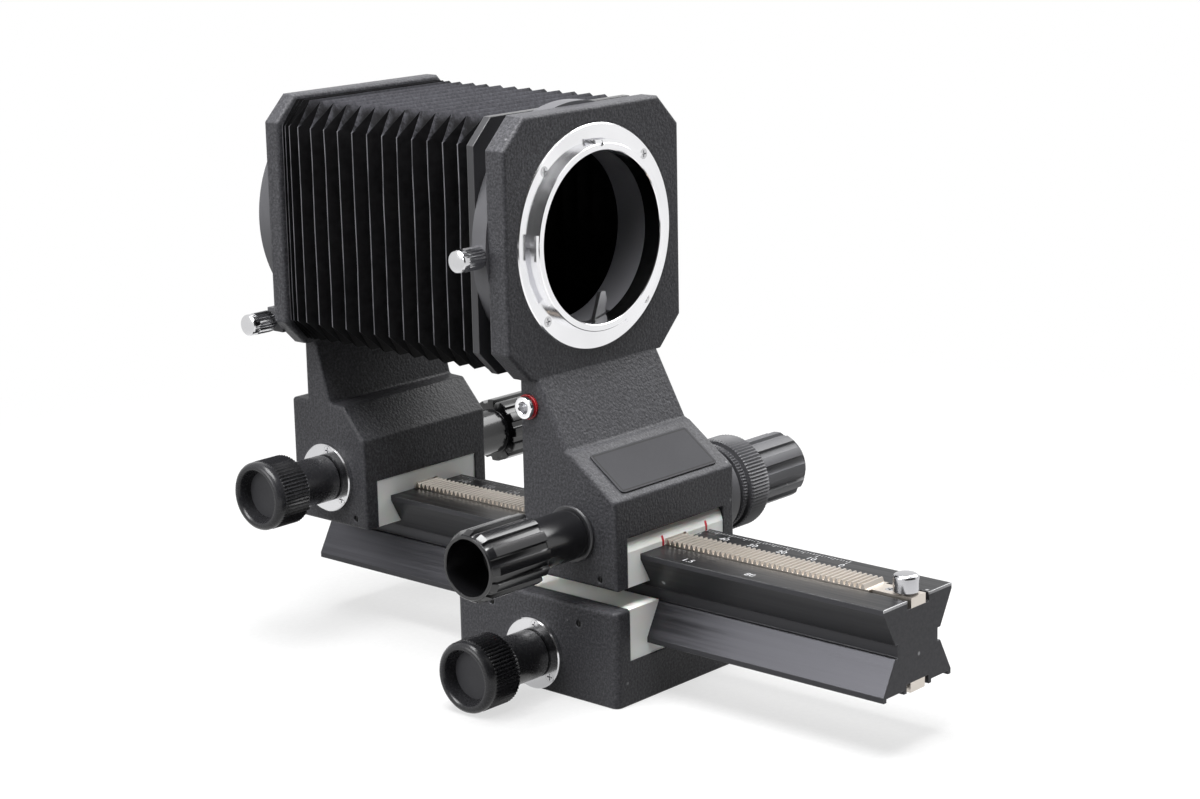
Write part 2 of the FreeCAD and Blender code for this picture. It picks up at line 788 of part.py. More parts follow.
def make_drive_knob(label, start, body_start, end, axis_y, axis_z, side):
    """Fluted knob with an open outer end; its stem is bored for the shaft."""
    edge = s.knob_edge
    floor = end - s.drive_bore_deep
    seat = s.shaft_radius
    body = turned_piece(label, [
        (start, seat), (start, s.stem_radius), (body_start, s.stem_radius), (body_start, s.drive_radius - edge),
        (body_start + edge, s.drive_radius), (end - edge, s.drive_radius), (end, s.drive_radius - edge),
        (end, drive_bore_radius), (floor, drive_bore_radius), (floor, seat)], axis_y, axis_z, side)
    flute = cut(body, "YZ", body_start - PAST, end + PAST, ((s.drive_radius + s.flute_out, 0), s.flute_radius))
    spread(body, flute, "X", s.flute_count)


def make_shaft(label, left, right, axis_y, axis_z):
    edge = s.small_edge
    turned_piece(label, [(left, 0), (left, s.shaft_radius - edge), (left + edge, s.shaft_radius),
                         (right - edge, s.shaft_radius), (right, s.shaft_radius - edge), (right, 0)], axis_y, axis_z)


def make_pinion(label, axis_y, axis_z, meeting_y, tooth_down):
    """Involute pinion: one tooth points at the rack's gap at meeting_y, and it has rolled from there to axis_y."""
    count = int(round(float(s.tooth_count)))
    module, pitch_r = float(s.tooth_module), float(pitch_radius)
    base_r = pitch_r * math.cos(math.radians(PRESSURE_ANGLE))
    tip_r, root_r = pitch_r + module, pitch_r - module * float(s.root_modules)
    half_at_pitch = (float(pitch) / 2 - float(s.backlash)) / 2 / pitch_r

    def involute(radius):
        tangent = math.sqrt(max((radius / base_r) ** 2 - 1, 0))
        return tangent - math.atan(tangent)

    steps = 4
    low_r = max(base_r, root_r)
    radii = [low_r + (tip_r - low_r) * step / steps for step in range(steps + 1)]
    flank = [(root_r, half_at_pitch + involute(pitch_r))]
    flank += [(radius, half_at_pitch + involute(pitch_r) - involute(radius)) for radius in radii]
    points = []
    for number in range(count):
        middle = number * 2 * math.pi / count
        points += [(radius, middle - half) for radius, half in flank]
        points += [(radius, middle + half) for radius, half in reversed(flank)]
    rolled = -(float(axis_y) - meeting_y) / pitch_r
    heading = (-math.pi / 2 if tooth_down else math.pi / 2) + rolled
    half = float(pinion_half)
    corners = [FreeCAD.Vector(-half, radius * math.cos(angle + heading), radius * math.sin(angle + heading))
               for radius, angle in points]
    gear = Part.Face(Part.makePolygon(corners + corners[:1])).extrude(FreeCAD.Vector(2 * half, 0, 0))
    bore = Part.makeCylinder(float(s.shaft_radius), 2 * half, FreeCAD.Vector(-half, 0, 0), FreeCAD.Vector(1, 0, 0))
    item = part_feature(label, gear.cut(bore))
    place(item, 0, axis_y, axis_z)


def make_drive_side(prefix, wall, axis_y, axis_z, meeting_y, tooth_down):
    """Shaft, pinion, flange, lock knob on the left and drive knob on the right."""
    make_flange(prefix + "_lock_flange", wall, axis_y, axis_z)
    make_flange_screws(prefix + "_flange_screws", wall, axis_y, axis_z)
    make_lock_knob(prefix, wall, axis_y, axis_z)
    make_bearing(prefix + "_bearing", wall, axis_y, axis_z, 1)
    start = wall + s.washer_thick + s.running_gap
    body_start = start + s.drive_stem_long
    make_drive_knob(prefix + "_drive_knob", start, body_start, body_start + s.drive_body_long, axis_y, axis_z, 1)
    make_shaft(prefix + "_shaft", -(wall - shaft_left_lock), body_start + s.shaft_in_knob, axis_y, axis_z)
    make_pinion(prefix + "_pinion", axis_y, axis_z, meeting_y, tooth_down)


def side_openings(body, wall, axis_y, axis_z, left_radius):
    """Bores for the shaft and for what sits in both walls; the left one takes the flange or the bush."""
    inner = wall - bush_long
    cut(body, "YZ", -wall, wall, ((axis_y, axis_z), shaft_bore + s.shaft_clear))
    cut(body, "YZ", -wall, -inner, ((axis_y, axis_z), left_radius + s.bore_gap))
    cut(body, "YZ", inner, wall, ((axis_y, axis_z), s.bush_radius + s.bore_gap))


def flange_screw_bores(body, wall, axis_y, axis_z):
    outlines = [((axis_y - y, axis_z + z), screw_bore) for y, z in flange_screw_places()]
    deep = s.screw_head_deep + s.flange_screw_long - s.flange_thick + s.screw_end_gap
    cut(body, "YZ", -wall, -wall + deep, *outlines)


def make_grubs(label, wall, spots):
    """Grub screws sunk in both side walls."""
    shift = s.grub_deep - s.grub_long
    left = fastener_group(None, grub_screw(), [(-wall + shift, y, z) for y, z in spots], (-1, 0, 0))
    right = fastener_group(None, grub_screw(), [(wall - shift, y, z) for y, z in spots], (1, 0, 0))
    part_feature(label, Part.makeCompound(left + right))


def grub_bores(body, wall, spots):
    outlines = [(spot, s.grub_radius) for spot in spots]
    cut(body, "YZ", -wall, -wall + s.grub_deep, *outlines)
    cut(body, "YZ", wall - s.grub_deep, wall, *outlines)


# ---- carriage ----

def carriage_grubs():
    return [(-s.carriage_grub_y, s.carriage_grub_z), (s.carriage_grub_y, s.carriage_grub_z)]


def make_carriage_body():
    body = new_body("carriage_body")
    half, long = s.carriage_half, s.carriage_half_long
    block = pad(body, "XY", 0, carriage_tall, rectangle(-half, half, -long, long))

    def upright(edge):
        return abs(edge.BoundBox.ZLength - float(carriage_tall)) < NEAR

    rounded = soften(body, block, s.carriage_corner, upright)
    tall = float(carriage_tall)
    soften(body, rounded, s.casting_edge, lambda edge: edge.BoundBox.ZMin > tall - NEAR)
    channel_half = half - s.carriage_wall
    cut(body, "XZ", -long, long, rectangle(-channel_half, channel_half, s.carriage_floor, carriage_tall + PAST))
    chamber = rectangle(-chamber_half_wide, chamber_half_wide, -chamber_half_long, chamber_half_long)
    cut(body, "XY", chamber_low, s.carriage_floor, chamber)
    side_openings(body, half, 0, low_axis_z, flange_boss_radius)
    flange_screw_bores(body, half, 0, low_axis_z)
    grub_bores(body, half, carriage_grubs())
    cut(body, "XY", 0, tripod_deep, ((0, 0), tripod_bush_radius))


def dovetail_half(z_from_waist):
    """Half width of the dovetail, from its waist edge outwards."""
    reach = s.rail_half - waist_edge
    rise = rail_top - s.rail_edge - waist_high
    return waist_edge + z_from_waist * reach / rise


def make_carriage_liner():
    body = new_body("carriage_liner")
    gap = s.slide_gap
    outer = s.carriage_half - s.carriage_wall
    top = carriage_tall - s.liner_inset
    mouth = waist_edge + gap
    low = s.rail_bottom - gap
    groove = s.rail_bottom - rack_tip_rise - s.rack_gap
    outline = mirrored([
        (rack_gap_half, groove), (rack_gap_half, low), (s.rail_half + gap, low),
        (s.rail_half + gap, s.rail_bottom + s.rail_edge), (mouth, waist_low), (mouth, top), (outer, top),
        (outer, s.carriage_floor)])
    long = s.carriage_half_long - s.liner_inset
    pad(body, "XZ", -long, long, outline)
    chamber = rectangle(-chamber_half_wide, chamber_half_wide, -chamber_half_long, chamber_half_long)
    cut(body, "XY", s.carriage_floor, s.rail_bottom, chamber)
    cut(body, "YZ", -outer, outer, ((0, low_axis_z), shaft_bore + s.shaft_clear))


def make_tripod_bush():
    body = new_body("tripod_bush")
    pad(body, "XY", 0, tripod_deep, ((0, 0), tripod_bush_radius), ((0, 0), s.tripod_radius))


# ---- standards ----

def make_standard_liner(label, front, back, axis_y, sloped):
    body = new_body(label)
    gap = s.slide_gap
    low = standard_bottom
    foot = dovetail_half(low - waist_high) + gap
    ceiling = rail_top + gap
    groove = rail_top + rack_tip_rise + s.rack_gap
    outline = mirrored([
        (rack_gap_half, groove), (rack_gap_half, ceiling), (s.rail_half + gap, ceiling),
        (s.rail_half + gap, rail_top - s.rail_edge), (foot, low), (window_half, low),
        (window_half, window_top)])
    pad(body, "XZ", front + s.liner_inset, back - s.liner_inset, outline)
    half, long = chamber_half_wide, chamber_half_long
    cut(body, "XY", rail_top, window_top, rectangle(-half, half, axis_y - long, axis_y + long))
    cut(body, "YZ", -window_half, window_half, ((axis_y, top_axis_z), shaft_bore + s.shaft_clear))
    if sloped:
        cut(body, "YZ", -window_half, window_half, [
            (front, ceiling + s.hollow_foot), (front + s.hollow_middle_in, window_top - s.hollow_middle_down),
            (front + s.hollow_top_in, window_top),
            (front, window_top)])


def outer_edges(half, panel_low):
    """Picks the edges of both side faces of a casting, and those across it below the panel."""
    def wanted(edge):
        box = edge.BoundBox
        beside = box.XLength < NEAR and abs(abs(box.XMin) - float(half)) < NEAR
        whole = box.XLength > 2 * float(half) - NEAR
        across = whole and box.ZMin > float(window_top) and box.ZMax < float(panel_low) - PAST
        return beside or across
    return wanted


def panel_edges(face_y, low):
    """Picks the edges round the panel's free face, except the lowest, which meets the neck."""
    def wanted(edge):
        box = edge.BoundBox
        free = box.ZMax > float(low + s.front_neck_overlap) + NEAR
        return free and box.YLength < NEAR and abs(box.YMin - float(face_y)) < NEAR
    return wanted


def casting_openings(body, front, back, axis_y, left_radius):
    """Window for the liner, chamber over the pinion and the shaft's bores."""
    window = rectangle(-window_half, window_half, standard_bottom, window_top)
    cut(body, "XZ", front, back, window)
    half, long = chamber_half_wide, chamber_half_long
    cut(body, "XY", window_top, top_axis_z + tip_radius + s.chamber_gap,
        rectangle(-half, half, axis_y - long, axis_y + long))
    side_openings(body, s.standard_half, axis_y, top_axis_z, left_radius)


def front_grubs():
    height = standard_bottom + s.front_grub_rise
    return [(s.front_grub_y, height), (s.front_grub_y + s.grub_spacing, height)]


def rear_grubs():
    height = standard_bottom + s.rear_grub_rise
    return [(s.rear_grub_y, height), (s.rear_grub_y + s.grub_spacing, height)]


def mount_screw_places():
    return [(x, s.lens_axis_z + z) for x, z in ring_places(4, mount_screw_circle, 45)]


def make_front_casting():
    body = new_body("front_casting")
    neck_top = front_panel_low + s.front_neck_overlap
    profile = [
        (s.front_face, standard_bottom), (s.front_back, standard_bottom), (s.front_back, neck_top),
        (s.front_panel_y, neck_top), (s.front_panel_y, front_panel_low + s.front_neck_rise),
        (s.front_neck_y, s.front_neck_z), (s.front_slope_end_y, s.front_slope_end_z),
        (s.front_face, s.front_face_top)]
    base = pad(body, "YZ", -s.standard_half, s.standard_half, profile)
    soften(body, base, s.casting_edge, outer_edges(s.standard_half, front_panel_low))
    panel = pad(body, "XZ", s.front_panel_y, front_panel_back,
                eight_corners(s.lens_axis_z, s.front_panel_half, front_panel_chamfer))
    soften(body, panel, s.casting_edge, panel_edges(s.front_panel_y, front_panel_low))
    casting_openings(body, s.front_face, s.front_back, s.front_axis_y, s.bush_radius)
    centre = (0, s.lens_axis_z)
    cut(body, "XZ", s.front_panel_y, front_panel_back, (centre, barrel_radius + s.bore_gap))
    cut(body, "XZ", s.front_panel_y, mount_back, (centre, mount_radius + s.bore_gap))
    screws = [(spot, screw_bore) for spot in mount_screw_places()]
    cut(body, "XZ", mount_back, mount_front + s.screw_head_deep + s.mount_screw_long + s.screw_end_gap, *screws)
    grub_bores(body, s.standard_half, front_grubs())
    cut(body, "YZ", -s.standard_half, -s.standard_half + s.socket_deep,
        ((s.socket_y, socket_z), s.socket_tube + s.bore_gap))
    plunger_end = s.plunger_tip_x + s.plunger_travel + s.plunger_end_gap
    cut(body, "YZ", -s.standard_half, plunger_end, ((s.socket_y, socket_z), s.plunger_radius + s.bore_gap))
    pocket_front = s.lever_front - s.lever_gap
    cut(body, "XZ", pocket_front, front_panel_back, rectangle(
        s.lever_pocket_left, s.lever_pocket_right, lever_pocket_low, s.lens_axis_z - s.throat_radius))
    cut(body, "XZ", pocket_front - s.lever_pin_deep, pocket_front,
        ((s.lever_pivot_x, lever_pivot_z), s.lever_pin_radius))
    screws = [(spot, screw_bore) for spot in cover_screw_places()]
    cut(body, "XZ", s.front_back + s.cover_thick - s.cover_screw_long - s.screw_end_gap, s.front_back, *screws)


def make_rear_casting():
    body = new_body("rear_casting")
    neck_top = rear_panel_low + s.rear_neck_overlap
    profile = [
        (s.rear_face, standard_bottom), (s.rear_back, standard_bottom), (s.rear_back, s.rear_slope_end_z),
        (rear_panel_back, s.rear_slope_end_z), (rear_panel_back, neck_top), (s.rear_panel_y, neck_top),
        (s.rear_panel_y, rear_panel_low), (s.rear_neck_y, s.rear_neck_z), (s.rear_slope_end_y, s.rear_slope_end_z),
        (s.rear_face, s.rear_face_top)]
    base = pad(body, "YZ", -s.standard_half, s.standard_half, profile)
    soften(body, base, s.casting_edge, outer_edges(s.standard_half, rear_panel_low))
    panel = pad(body, "XZ", s.rear_panel_y, rear_panel_back,
                eight_corners(s.lens_axis_z, s.rear_panel_half, rear_panel_chamfer))
    soften(body, panel, s.casting_edge, panel_edges(s.rear_panel_y, rear_panel_low))
    casting_openings(body, s.rear_face, s.rear_back, s.rear_axis_y, flange_boss_radius)
    flange_screw_bores(body, s.standard_half, s.rear_axis_y, top_axis_z)
    cut(body, "XZ", s.rear_panel_y, rear_panel_back, ((0, s.lens_axis_z), camera_ring_bore))
    grub_bores(body, s.standard_half, rear_grubs())


# ---- front standard's smaller pieces ----

def make_nameplate():
    """A blank plate that lies on the slope."""
    body = new_body("nameplate")
    start, end = s.plate_start, s.plate_start + s.plate_long
    thick = s.plate_thick
    foot_y, foot_z = s.front_face + slope_y * start, s.front_face_top + slope_z * start
    head_y, head_z = s.front_face + slope_y * end, s.front_face_top + slope_z * end
    shift_y, shift_z = slope_z * thick, slope_y * thick
    plate = pad(body, "YZ", -s.plate_half, s.plate_half, [
        (foot_y, foot_z), (head_y, head_z), (head_y - shift_y, head_z + shift_z),
        (foot_y - shift_y, foot_z + shift_z)])

    def across(edge):
        return edge.BoundBox.XLength < NEAR and abs(edge.Length - float(thick)) < NEAR

    soften(body, plate, s.plate_corner, across)


def lug_outline(inside, outside, angles):
    """A bayonet lug between two radii, through the angles from its one end to its other."""
    ends = [math.radians(angle) for angle in angles]
    outline = [(outside * math.cos(angle), outside * math.sin(angle)) for angle in ends]
    return outline + [(inside * math.cos(angle), inside * math.sin(angle)) for angle in reversed(ends)]


def make_lens_mount():
    body = new_body("lens_mount_ring")
    inner, outer = s.throat_radius, mount_radius
    lip = mount_front - s.mount_lip_proud
    edge, fine = s.small_edge, s.fine_edge
    turn(body, [(mount_back, inner), (mount_back, outer), (mount_front + edge, outer), (mount_front, outer - edge),
                (mount_front, mount_lip_radius), (lip + fine, mount_lip_radius),
                (lip, mount_lip_radius - fine), (lip, inner + fine), (lip + fine, inner)], "Y")
    outline = lug_outline(mount_lip_radius - s.lug_root, mount_lug_radius, MOUNT_LUG_ANGLES)
    lug = pad(body, "XZ", lip + fine, lip + fine + s.mount_lug_thick, outline)
    spread(body, lug, "Y", 3)
    screws = [(spot, screw_bore) for spot in ring_places(4, mount_screw_circle, 45)]
    cut(body, "XZ", mount_front, mount_back, *screws)
    heads = [(spot, head_bore) for spot in ring_places(4, mount_screw_circle, 45)]
    cut(body, "XZ", mount_front, mount_front + s.screw_head_deep, *heads)
    pin_reach = mount_lip_radius
    cut(body, "XZ", lip, mount_back, ((0, pin_reach), s.mount_pin_radius + s.bore_gap))
    place(body, 0, 0, s.lens_axis_z)
    places = [(x, mount_front, z) for x, z in mount_screw_places()]
    fastener_group("lens_mount_screws", cross_screw(float(s.mount_screw_long)), places, (0, -1, 0))
    pin_body = new_body("mount_pin")
    pad(pin_body, "XZ", mount_front - s.mount_pin_proud, mount_back,
        ((0, s.lens_axis_z + pin_reach), s.mount_pin_radius))


def make_barrel():
    body = new_body("mount_barrel")
    centre = (0, s.lens_axis_z)
    pad(body, "XZ", mount_back, s.barrel_rear, (centre, barrel_radius), (centre, barrel_inner))
    cut(body, "XZ", mount_back, s.lever_front + s.lever_thick + s.lever_gap, rectangle(
        s.lever_pocket_left, s.lever_pocket_right, s.lens_axis_z - barrel_radius - PAST,
        s.lens_axis_z - barrel_inner + s.barrel_slot_in))


def make_disc_and_frame():
    centre = (0, s.lens_axis_z)
    disc = new_body("reversing_disc")
    pad(disc, "XZ", front_panel_back, disc_back, (centre, disc_radius), (centre, barrel_radius + s.bore_gap))
    cut(disc, "YZ", -disc_radius - PAST, -barrel_radius,
        ((lock_screw_y, lock_screw_z), s.screw_knob_stem + s.bore_gap))
    frame = new_body("bellows_front_frame")
    pad(frame, "XZ", disc_back, frame_back, eight_corners(s.lens_axis_z, frame_half, s.frame_chamfer),
        (centre, frame_opening))


def screw_knob(label, wall, reach, axis_y, axis_z):
    """A small bright knob screw on the left: its stem is held in the wall and its head starts at reach."""
    start = wall - s.screw_knob_grip
    end = reach + s.screw_knob_long
    edge = s.screw_knob_edge
    turned_piece(label, [
        (start, 0), (start, s.screw_knob_stem), (reach, s.screw_knob_stem), (reach, s.screw_knob_radius - edge),
        (reach + edge, s.screw_knob_radius), (end - s.knob_edge, s.screw_knob_radius),
        (end, s.screw_knob_radius - s.knob_edge), (end, 0)], axis_y, axis_z, -1)


def make_release():
    """Cable release socket on the left, its red ring and the plunger inside."""
    wall = s.standard_half
    ring_face = wall + s.release_ring_thick
    front = wall + s.socket_proud
    inner = wall - s.socket_deep + s.running_gap
    turned_piece("release_socket", [
        (inner, s.socket_bore), (inner, s.socket_tube), (ring_face, s.socket_tube), (ring_face, s.socket_radius),
        (front - s.small_edge, s.socket_radius), (front, s.socket_radius - s.small_edge), (front, s.socket_bore)],
        s.socket_y, socket_z, -1)
    turned_piece("release_ring", [
        (wall, s.socket_tube + s.bore_gap), (wall, s.release_ring_radius), (ring_face, s.release_ring_radius),
        (ring_face, s.socket_tube + s.bore_gap)], s.socket_y, socket_z, -1)
    head_in = inner + s.plunger_travel + s.plunger_head_gap
    turned_piece("release_plunger", [
        (-s.plunger_tip_x, 0), (-s.plunger_tip_x, s.plunger_radius), (head_in, s.plunger_radius),
        (head_in, s.plunger_head_radius), (head_in + s.plunger_head_long, s.plunger_head_radius),
        (head_in + s.plunger_head_long, 0)], s.socket_y, socket_z, -1)


def make_lever():
    """A flat rocking lever: the plunger pushes its foot, its finger stands in the throat."""
    body = new_body("diaphragm_lever")
    half = s.lever_width / 2
    pivot_x, pivot_z = s.lever_pivot_x, lever_pivot_z
    eye = half + s.lever_eye
    foot_low = socket_z - s.lever_foot_low
    outline = [
        (s.lever_foot_x - s.lever_foot_half, foot_low), (s.lever_foot_x + s.lever_foot_half, foot_low),
        (pivot_x + half, pivot_z - eye), (pivot_x + eye, pivot_z),
        (s.lever_tip_x + half * 0.9, lever_tip_z - eye), (s.lever_tip_x + half * 0.5, lever_tip_z),
        (s.lever_tip_x - half * 0.6, lever_tip_z), (pivot_x - eye, pivot_z + half / 2),
        (pivot_x - eye, pivot_z - half / 2)]
    pad(body, "XZ", s.lever_front, s.lever_front + s.lever_thick, outline,
        ((pivot_x, pivot_z), s.lever_pin_radius + s.bore_gap))
    pin_body = new_body("lever_pivot")
    pad(pin_body, "XZ", s.lever_front - s.lever_gap - s.lever_pin_deep,
        s.lever_front + s.lever_thick + s.lever_pin_proud,
        ((pivot_x, pivot_z), s.lever_pin_radius))


def cover_top():
    return s.lens_axis_z - disc_radius - s.running_gap


def cover_screw_places():
    border = s.cover_border + s.cover_screw_out
    height = lever_pocket_low + s.cover_screw_up
    return [(s.lever_pocket_left - border, height), (s.lever_pocket_right + border, height)]


def make_release_cover():
    """A thin plate that closes the lever's pocket from behind."""
    body = new_body("release_cover")
    border = s.cover_border + s.cover_ear
    low = lever_pocket_low - s.cover_border
    outline = rectangle(s.lever_pocket_left - border, s.lever_pocket_right + border, low, cover_top())
    pad(body, "XZ", s.front_back, s.front_back + s.cover_thick, outline)
    screws = [(spot, screw_bore) for spot in cover_screw_places()]
    cut(body, "XZ", s.front_back, s.front_back + s.cover_thick, *screws)
    places = [(x, s.front_back + s.cover_thick + s.cover_head_deep, z) for x, z in cover_screw_places()]
    screw = cross_screw(float(s.cover_screw_long), s.cover_head_deep)
    fastener_group("release_cover_screws", screw, places, (0, 1, 0))


# ---- front drive ----

def make_front_drive():
    axis = (s.front_axis_y, top_axis_z)
    wall = s.standard_half
    make_bearing("front_bearing", wall, *axis, -1)
    start = wall + s.washer_thick + s.running_gap
    body_start = start + s.drive_stem_long
    make_drive_knob("front_knob_left", start, body_start, body_start + s.drive_body_long, *axis, -1)
    right_body = right_knob_start + s.right_knob_stem
    make_drive_knob("front_knob_right", right_knob_start, right_body, right_knob_end, *axis, 1)
    make_shaft("front_shaft", -(body_start + s.shaft_in_knob), right_knob_start + s.shaft_in_knob, *axis)
    make_pinion("front_pinion", *axis, float(s.front_axis_y), True)
    boss_face = wall + s.boss_thick
    spigot = right_knob_start - s.boss_end_gap
    turned_piece("front_boss", [
        (wall - bush_long, shaft_bore), (wall - bush_long, s.bush_radius), (wall, s.bush_radius),
        (wall, s.boss_radius), (boss_face - s.boss_edge, s.boss_radius), (boss_face, s.boss_radius - s.boss_edge),
        (boss_face, s.boss_spigot_radius), (spigot, s.boss_spigot_radius), (spigot, shaft_bore)], *axis)
    edge = s.knob_edge
    inner = s.boss_spigot_radius + s.bore_gap
    turned_piece("front_lock_ring", [
        (lock_ring_start, inner), (lock_ring_start, s.lock_ring_radius - edge),
        (lock_ring_start + edge, s.lock_ring_radius), (lock_ring_end - edge, s.lock_ring_radius),
        (lock_ring_end, s.lock_ring_radius - edge), (lock_ring_end, inner)], *axis)


# ---- rear standard's camera mount ----

def make_camera_mount():
    centre = (0, s.lens_axis_z)
    housing = new_body("camera_ring_housing")
    back = rear_panel_back + s.housing_long
    pad(housing, "XZ", rear_panel_back, back, (centre, housing_radius))
    lug = rectangle(s.ring_lug_left, s.ring_lug_right, ring_lock_z - s.ring_lug_half,
                    ring_lock_z + s.ring_lug_half)
    pad(housing, "XZ", rear_panel_back, back, lug)
    cut(housing, "XZ", rear_panel_back, back, (centre, housing_bore))
    cut(housing, "YZ", s.ring_lug_left, s.ring_lug_left + s.screw_knob_grip + s.screw_end_gap,
        ((ring_lock_y, ring_lock_z), s.screw_knob_stem + s.bore_gap))
    ring = new_body("camera_mount_ring")
    start = rear_panel_back + s.running_gap
    end = start + camera_ring_long
    pad(ring, "XZ", start, end, (centre, camera_ring_radius), (centre, camera_ring_bore))
    screws = [(spot, screw_bore) for spot in bayonet_screw_places()]
    cut(ring, "XZ", end - s.bayonet_screw_long - s.screw_end_gap, end, *screws)
    plate = new_body("camera_bayonet")
    face = s.bayonet_thick
    tube = face + s.bayonet_tube_long
    fine = s.fine_edge
    turn(plate, [(0, bayonet_tube_bore), (0, bayonet_radius), (face - fine, bayonet_radius),
                 (face, bayonet_radius - fine), (face, s.bayonet_tube_radius), (tube, s.bayonet_tube_radius),
                 (tube, bayonet_tube_bore)], "Y")
    outline = lug_outline(s.bayonet_tube_radius - s.lug_root, bayonet_lug_radius, BAYONET_LUG_ANGLES)
    tab = pad(plate, "XZ", tube - s.bayonet_lug_thick, tube, outline)
    spread(plate, tab, "Y", 3)
    heads = [(spot, head_bore) for spot in ring_places(4, bayonet_screw_circle, 45)]
    cut(plate, "XZ", 0, face, *heads)
    place(plate, 0, end, s.lens_axis_z)
    places = [(x, end + face, z) for x, z in bayonet_screw_places()]
    fastener_group("bayonet_screws", cross_screw(float(s.bayonet_screw_long), s.bayonet_thick), places, (0, 1, 0))


def bayonet_screw_places():
    return [(x, s.lens_axis_z + z) for x, z in ring_places(4, bayonet_screw_circle, 45)]


# ---- bellows ----

def make_bellows():
    """Pleats of octagon rings, wide at each ridge and narrow at each valley, with a thin wall."""
    start, end = float(frame_back + s.bellows_gap), float(s.rear_panel_y - s.bellows_gap)
    folds = int(round(float(s.bellows_folds)))
    ridge, valley = float(bellows_ridge), float(bellows_valley)
    chamfer, centre_z = float(bellows_chamfer), float(s.lens_axis_z)
    rings = 2 * folds

    def octagon(half, corner, y):
        points = eight_corners(sized(centre_z), sized(half), sized(corner))
        corners = [FreeCAD.Vector(float(x), y, float(z)) for x, z in points]
        return Part.makePolygon(corners + corners[:1])

    def skin(inset):
        wires = []
        for number in range(rings + 1):
            half = (ridge if number % 2 else valley) - inset
            wires.append(octagon(half, chamfer * half / ridge, start + (end - start) * number / rings))
        return Part.makeLoft(wires, True, True)

    part_feature("bellows", skin(0.0).cut(skin(float(s.bellows_wall))))


make_rail()
make_racks()
make_rack_screws()
make_stop_post()
make_carriage_body()
make_carriage_liner()
make_tripod_bush()
make_grubs("carriage_set_screws", s.carriage_half, carriage_grubs())
make_drive_side("carriage", s.carriage_half, sized(0), low_axis_z, 0.0, False)
make_front_casting()
make_standard_liner("front_liner", s.front_face, s.front_back, s.front_axis_y, True)
make_grubs("front_set_screws", s.standard_half, front_grubs())
make_nameplate()
make_lens_mount()
make_barrel()
make_disc_and_frame()
screw_knob("bellows_lock_screw", disc_radius, disc_radius + s.running_gap, lock_screw_y, lock_screw_z)
make_release()
make_lever()
make_release_cover()
make_front_drive()
make_rear_casting()
make_standard_liner("rear_liner", s.rear_face, s.rear_back, s.rear_axis_y, False)
make_grubs("rear_set_screws", s.standard_half, rear_grubs())
make_drive_side("rear", s.standard_half, s.rear_axis_y, top_axis_z, float(s.front_axis_y), True)
make_camera_mount()
screw_knob("ring_lock_screw", -s.ring_lug_left, -s.ring_lug_left + s.screw_knob_stand, ring_lock_y,
           ring_lock_z)
make_bellows()

document.recompute()

# every object has to be sound before anything is written
for item in document.Objects:
    state = set(item.State) & {"Invalid", "Error"}
    if state:
        raise RuntimeError("%s is %s" % (item.Name, ", ".join(sorted(state))))

nodes = [item for item in document.Objects if item.TypeId in ("PartDesign::Body", "Part::Feature")]
for item in nodes:
    if item.Shape.isNull() or not item.Shape.isValid() or not item.Shape.Solids:
        raise RuntimeError("%s has no sound solid" % item.Label)

os.makedirs("parts", exist_ok=True)
for item in nodes:
    item.Shape.exportStep(os.path.join("parts", item.Label + ".step"))
    box = item.Shape.BoundBox
    print("%-24s solids %2d  volume %10.2f  x %7.2f %7.2f  y %7.2f %7.2f  z %7.2f %7.2f" % (
        item.Label, len(item.Shape.Solids), item.Shape.Volume,
        box.XMin, box.XMax, box.YMin, box.YMax, box.ZMin, box.ZMax))
print(len(nodes), "nodes")
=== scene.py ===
import json
import math

import bmesh
import bpy
from mathutils import Matrix, Vector


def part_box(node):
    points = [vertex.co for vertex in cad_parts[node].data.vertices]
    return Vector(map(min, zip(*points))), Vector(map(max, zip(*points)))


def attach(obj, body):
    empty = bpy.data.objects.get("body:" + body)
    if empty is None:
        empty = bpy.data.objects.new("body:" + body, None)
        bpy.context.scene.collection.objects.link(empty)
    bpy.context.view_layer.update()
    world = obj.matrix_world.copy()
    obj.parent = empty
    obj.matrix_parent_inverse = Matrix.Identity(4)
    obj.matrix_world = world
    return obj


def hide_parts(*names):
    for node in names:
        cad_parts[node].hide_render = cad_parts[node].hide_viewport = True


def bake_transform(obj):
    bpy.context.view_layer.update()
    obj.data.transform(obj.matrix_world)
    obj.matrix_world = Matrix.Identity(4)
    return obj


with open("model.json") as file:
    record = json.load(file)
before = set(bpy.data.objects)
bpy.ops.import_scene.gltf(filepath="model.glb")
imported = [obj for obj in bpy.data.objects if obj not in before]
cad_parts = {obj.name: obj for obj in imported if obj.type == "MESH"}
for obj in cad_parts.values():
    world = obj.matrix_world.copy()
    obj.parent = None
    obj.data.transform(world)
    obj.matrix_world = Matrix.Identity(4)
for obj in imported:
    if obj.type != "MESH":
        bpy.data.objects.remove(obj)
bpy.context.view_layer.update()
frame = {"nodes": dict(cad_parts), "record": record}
nodes = frame["nodes"]
mm = 0.001
print("frame loaded:", len(nodes), "nodes")


viewPoint = {
    "place": (-0.52896, -0.47250, 0.24635),
    "azimuth": -48.28,        # degrees, from straight in front
    "elevation": 13.45,
    "roll": -1.16,
    "lens": 78.47,            # mm
    "sensor": 36.0,
    "nearest": 0.01,          # m, nothing nearer or farther is drawn
    "farthest": 20.0,
}


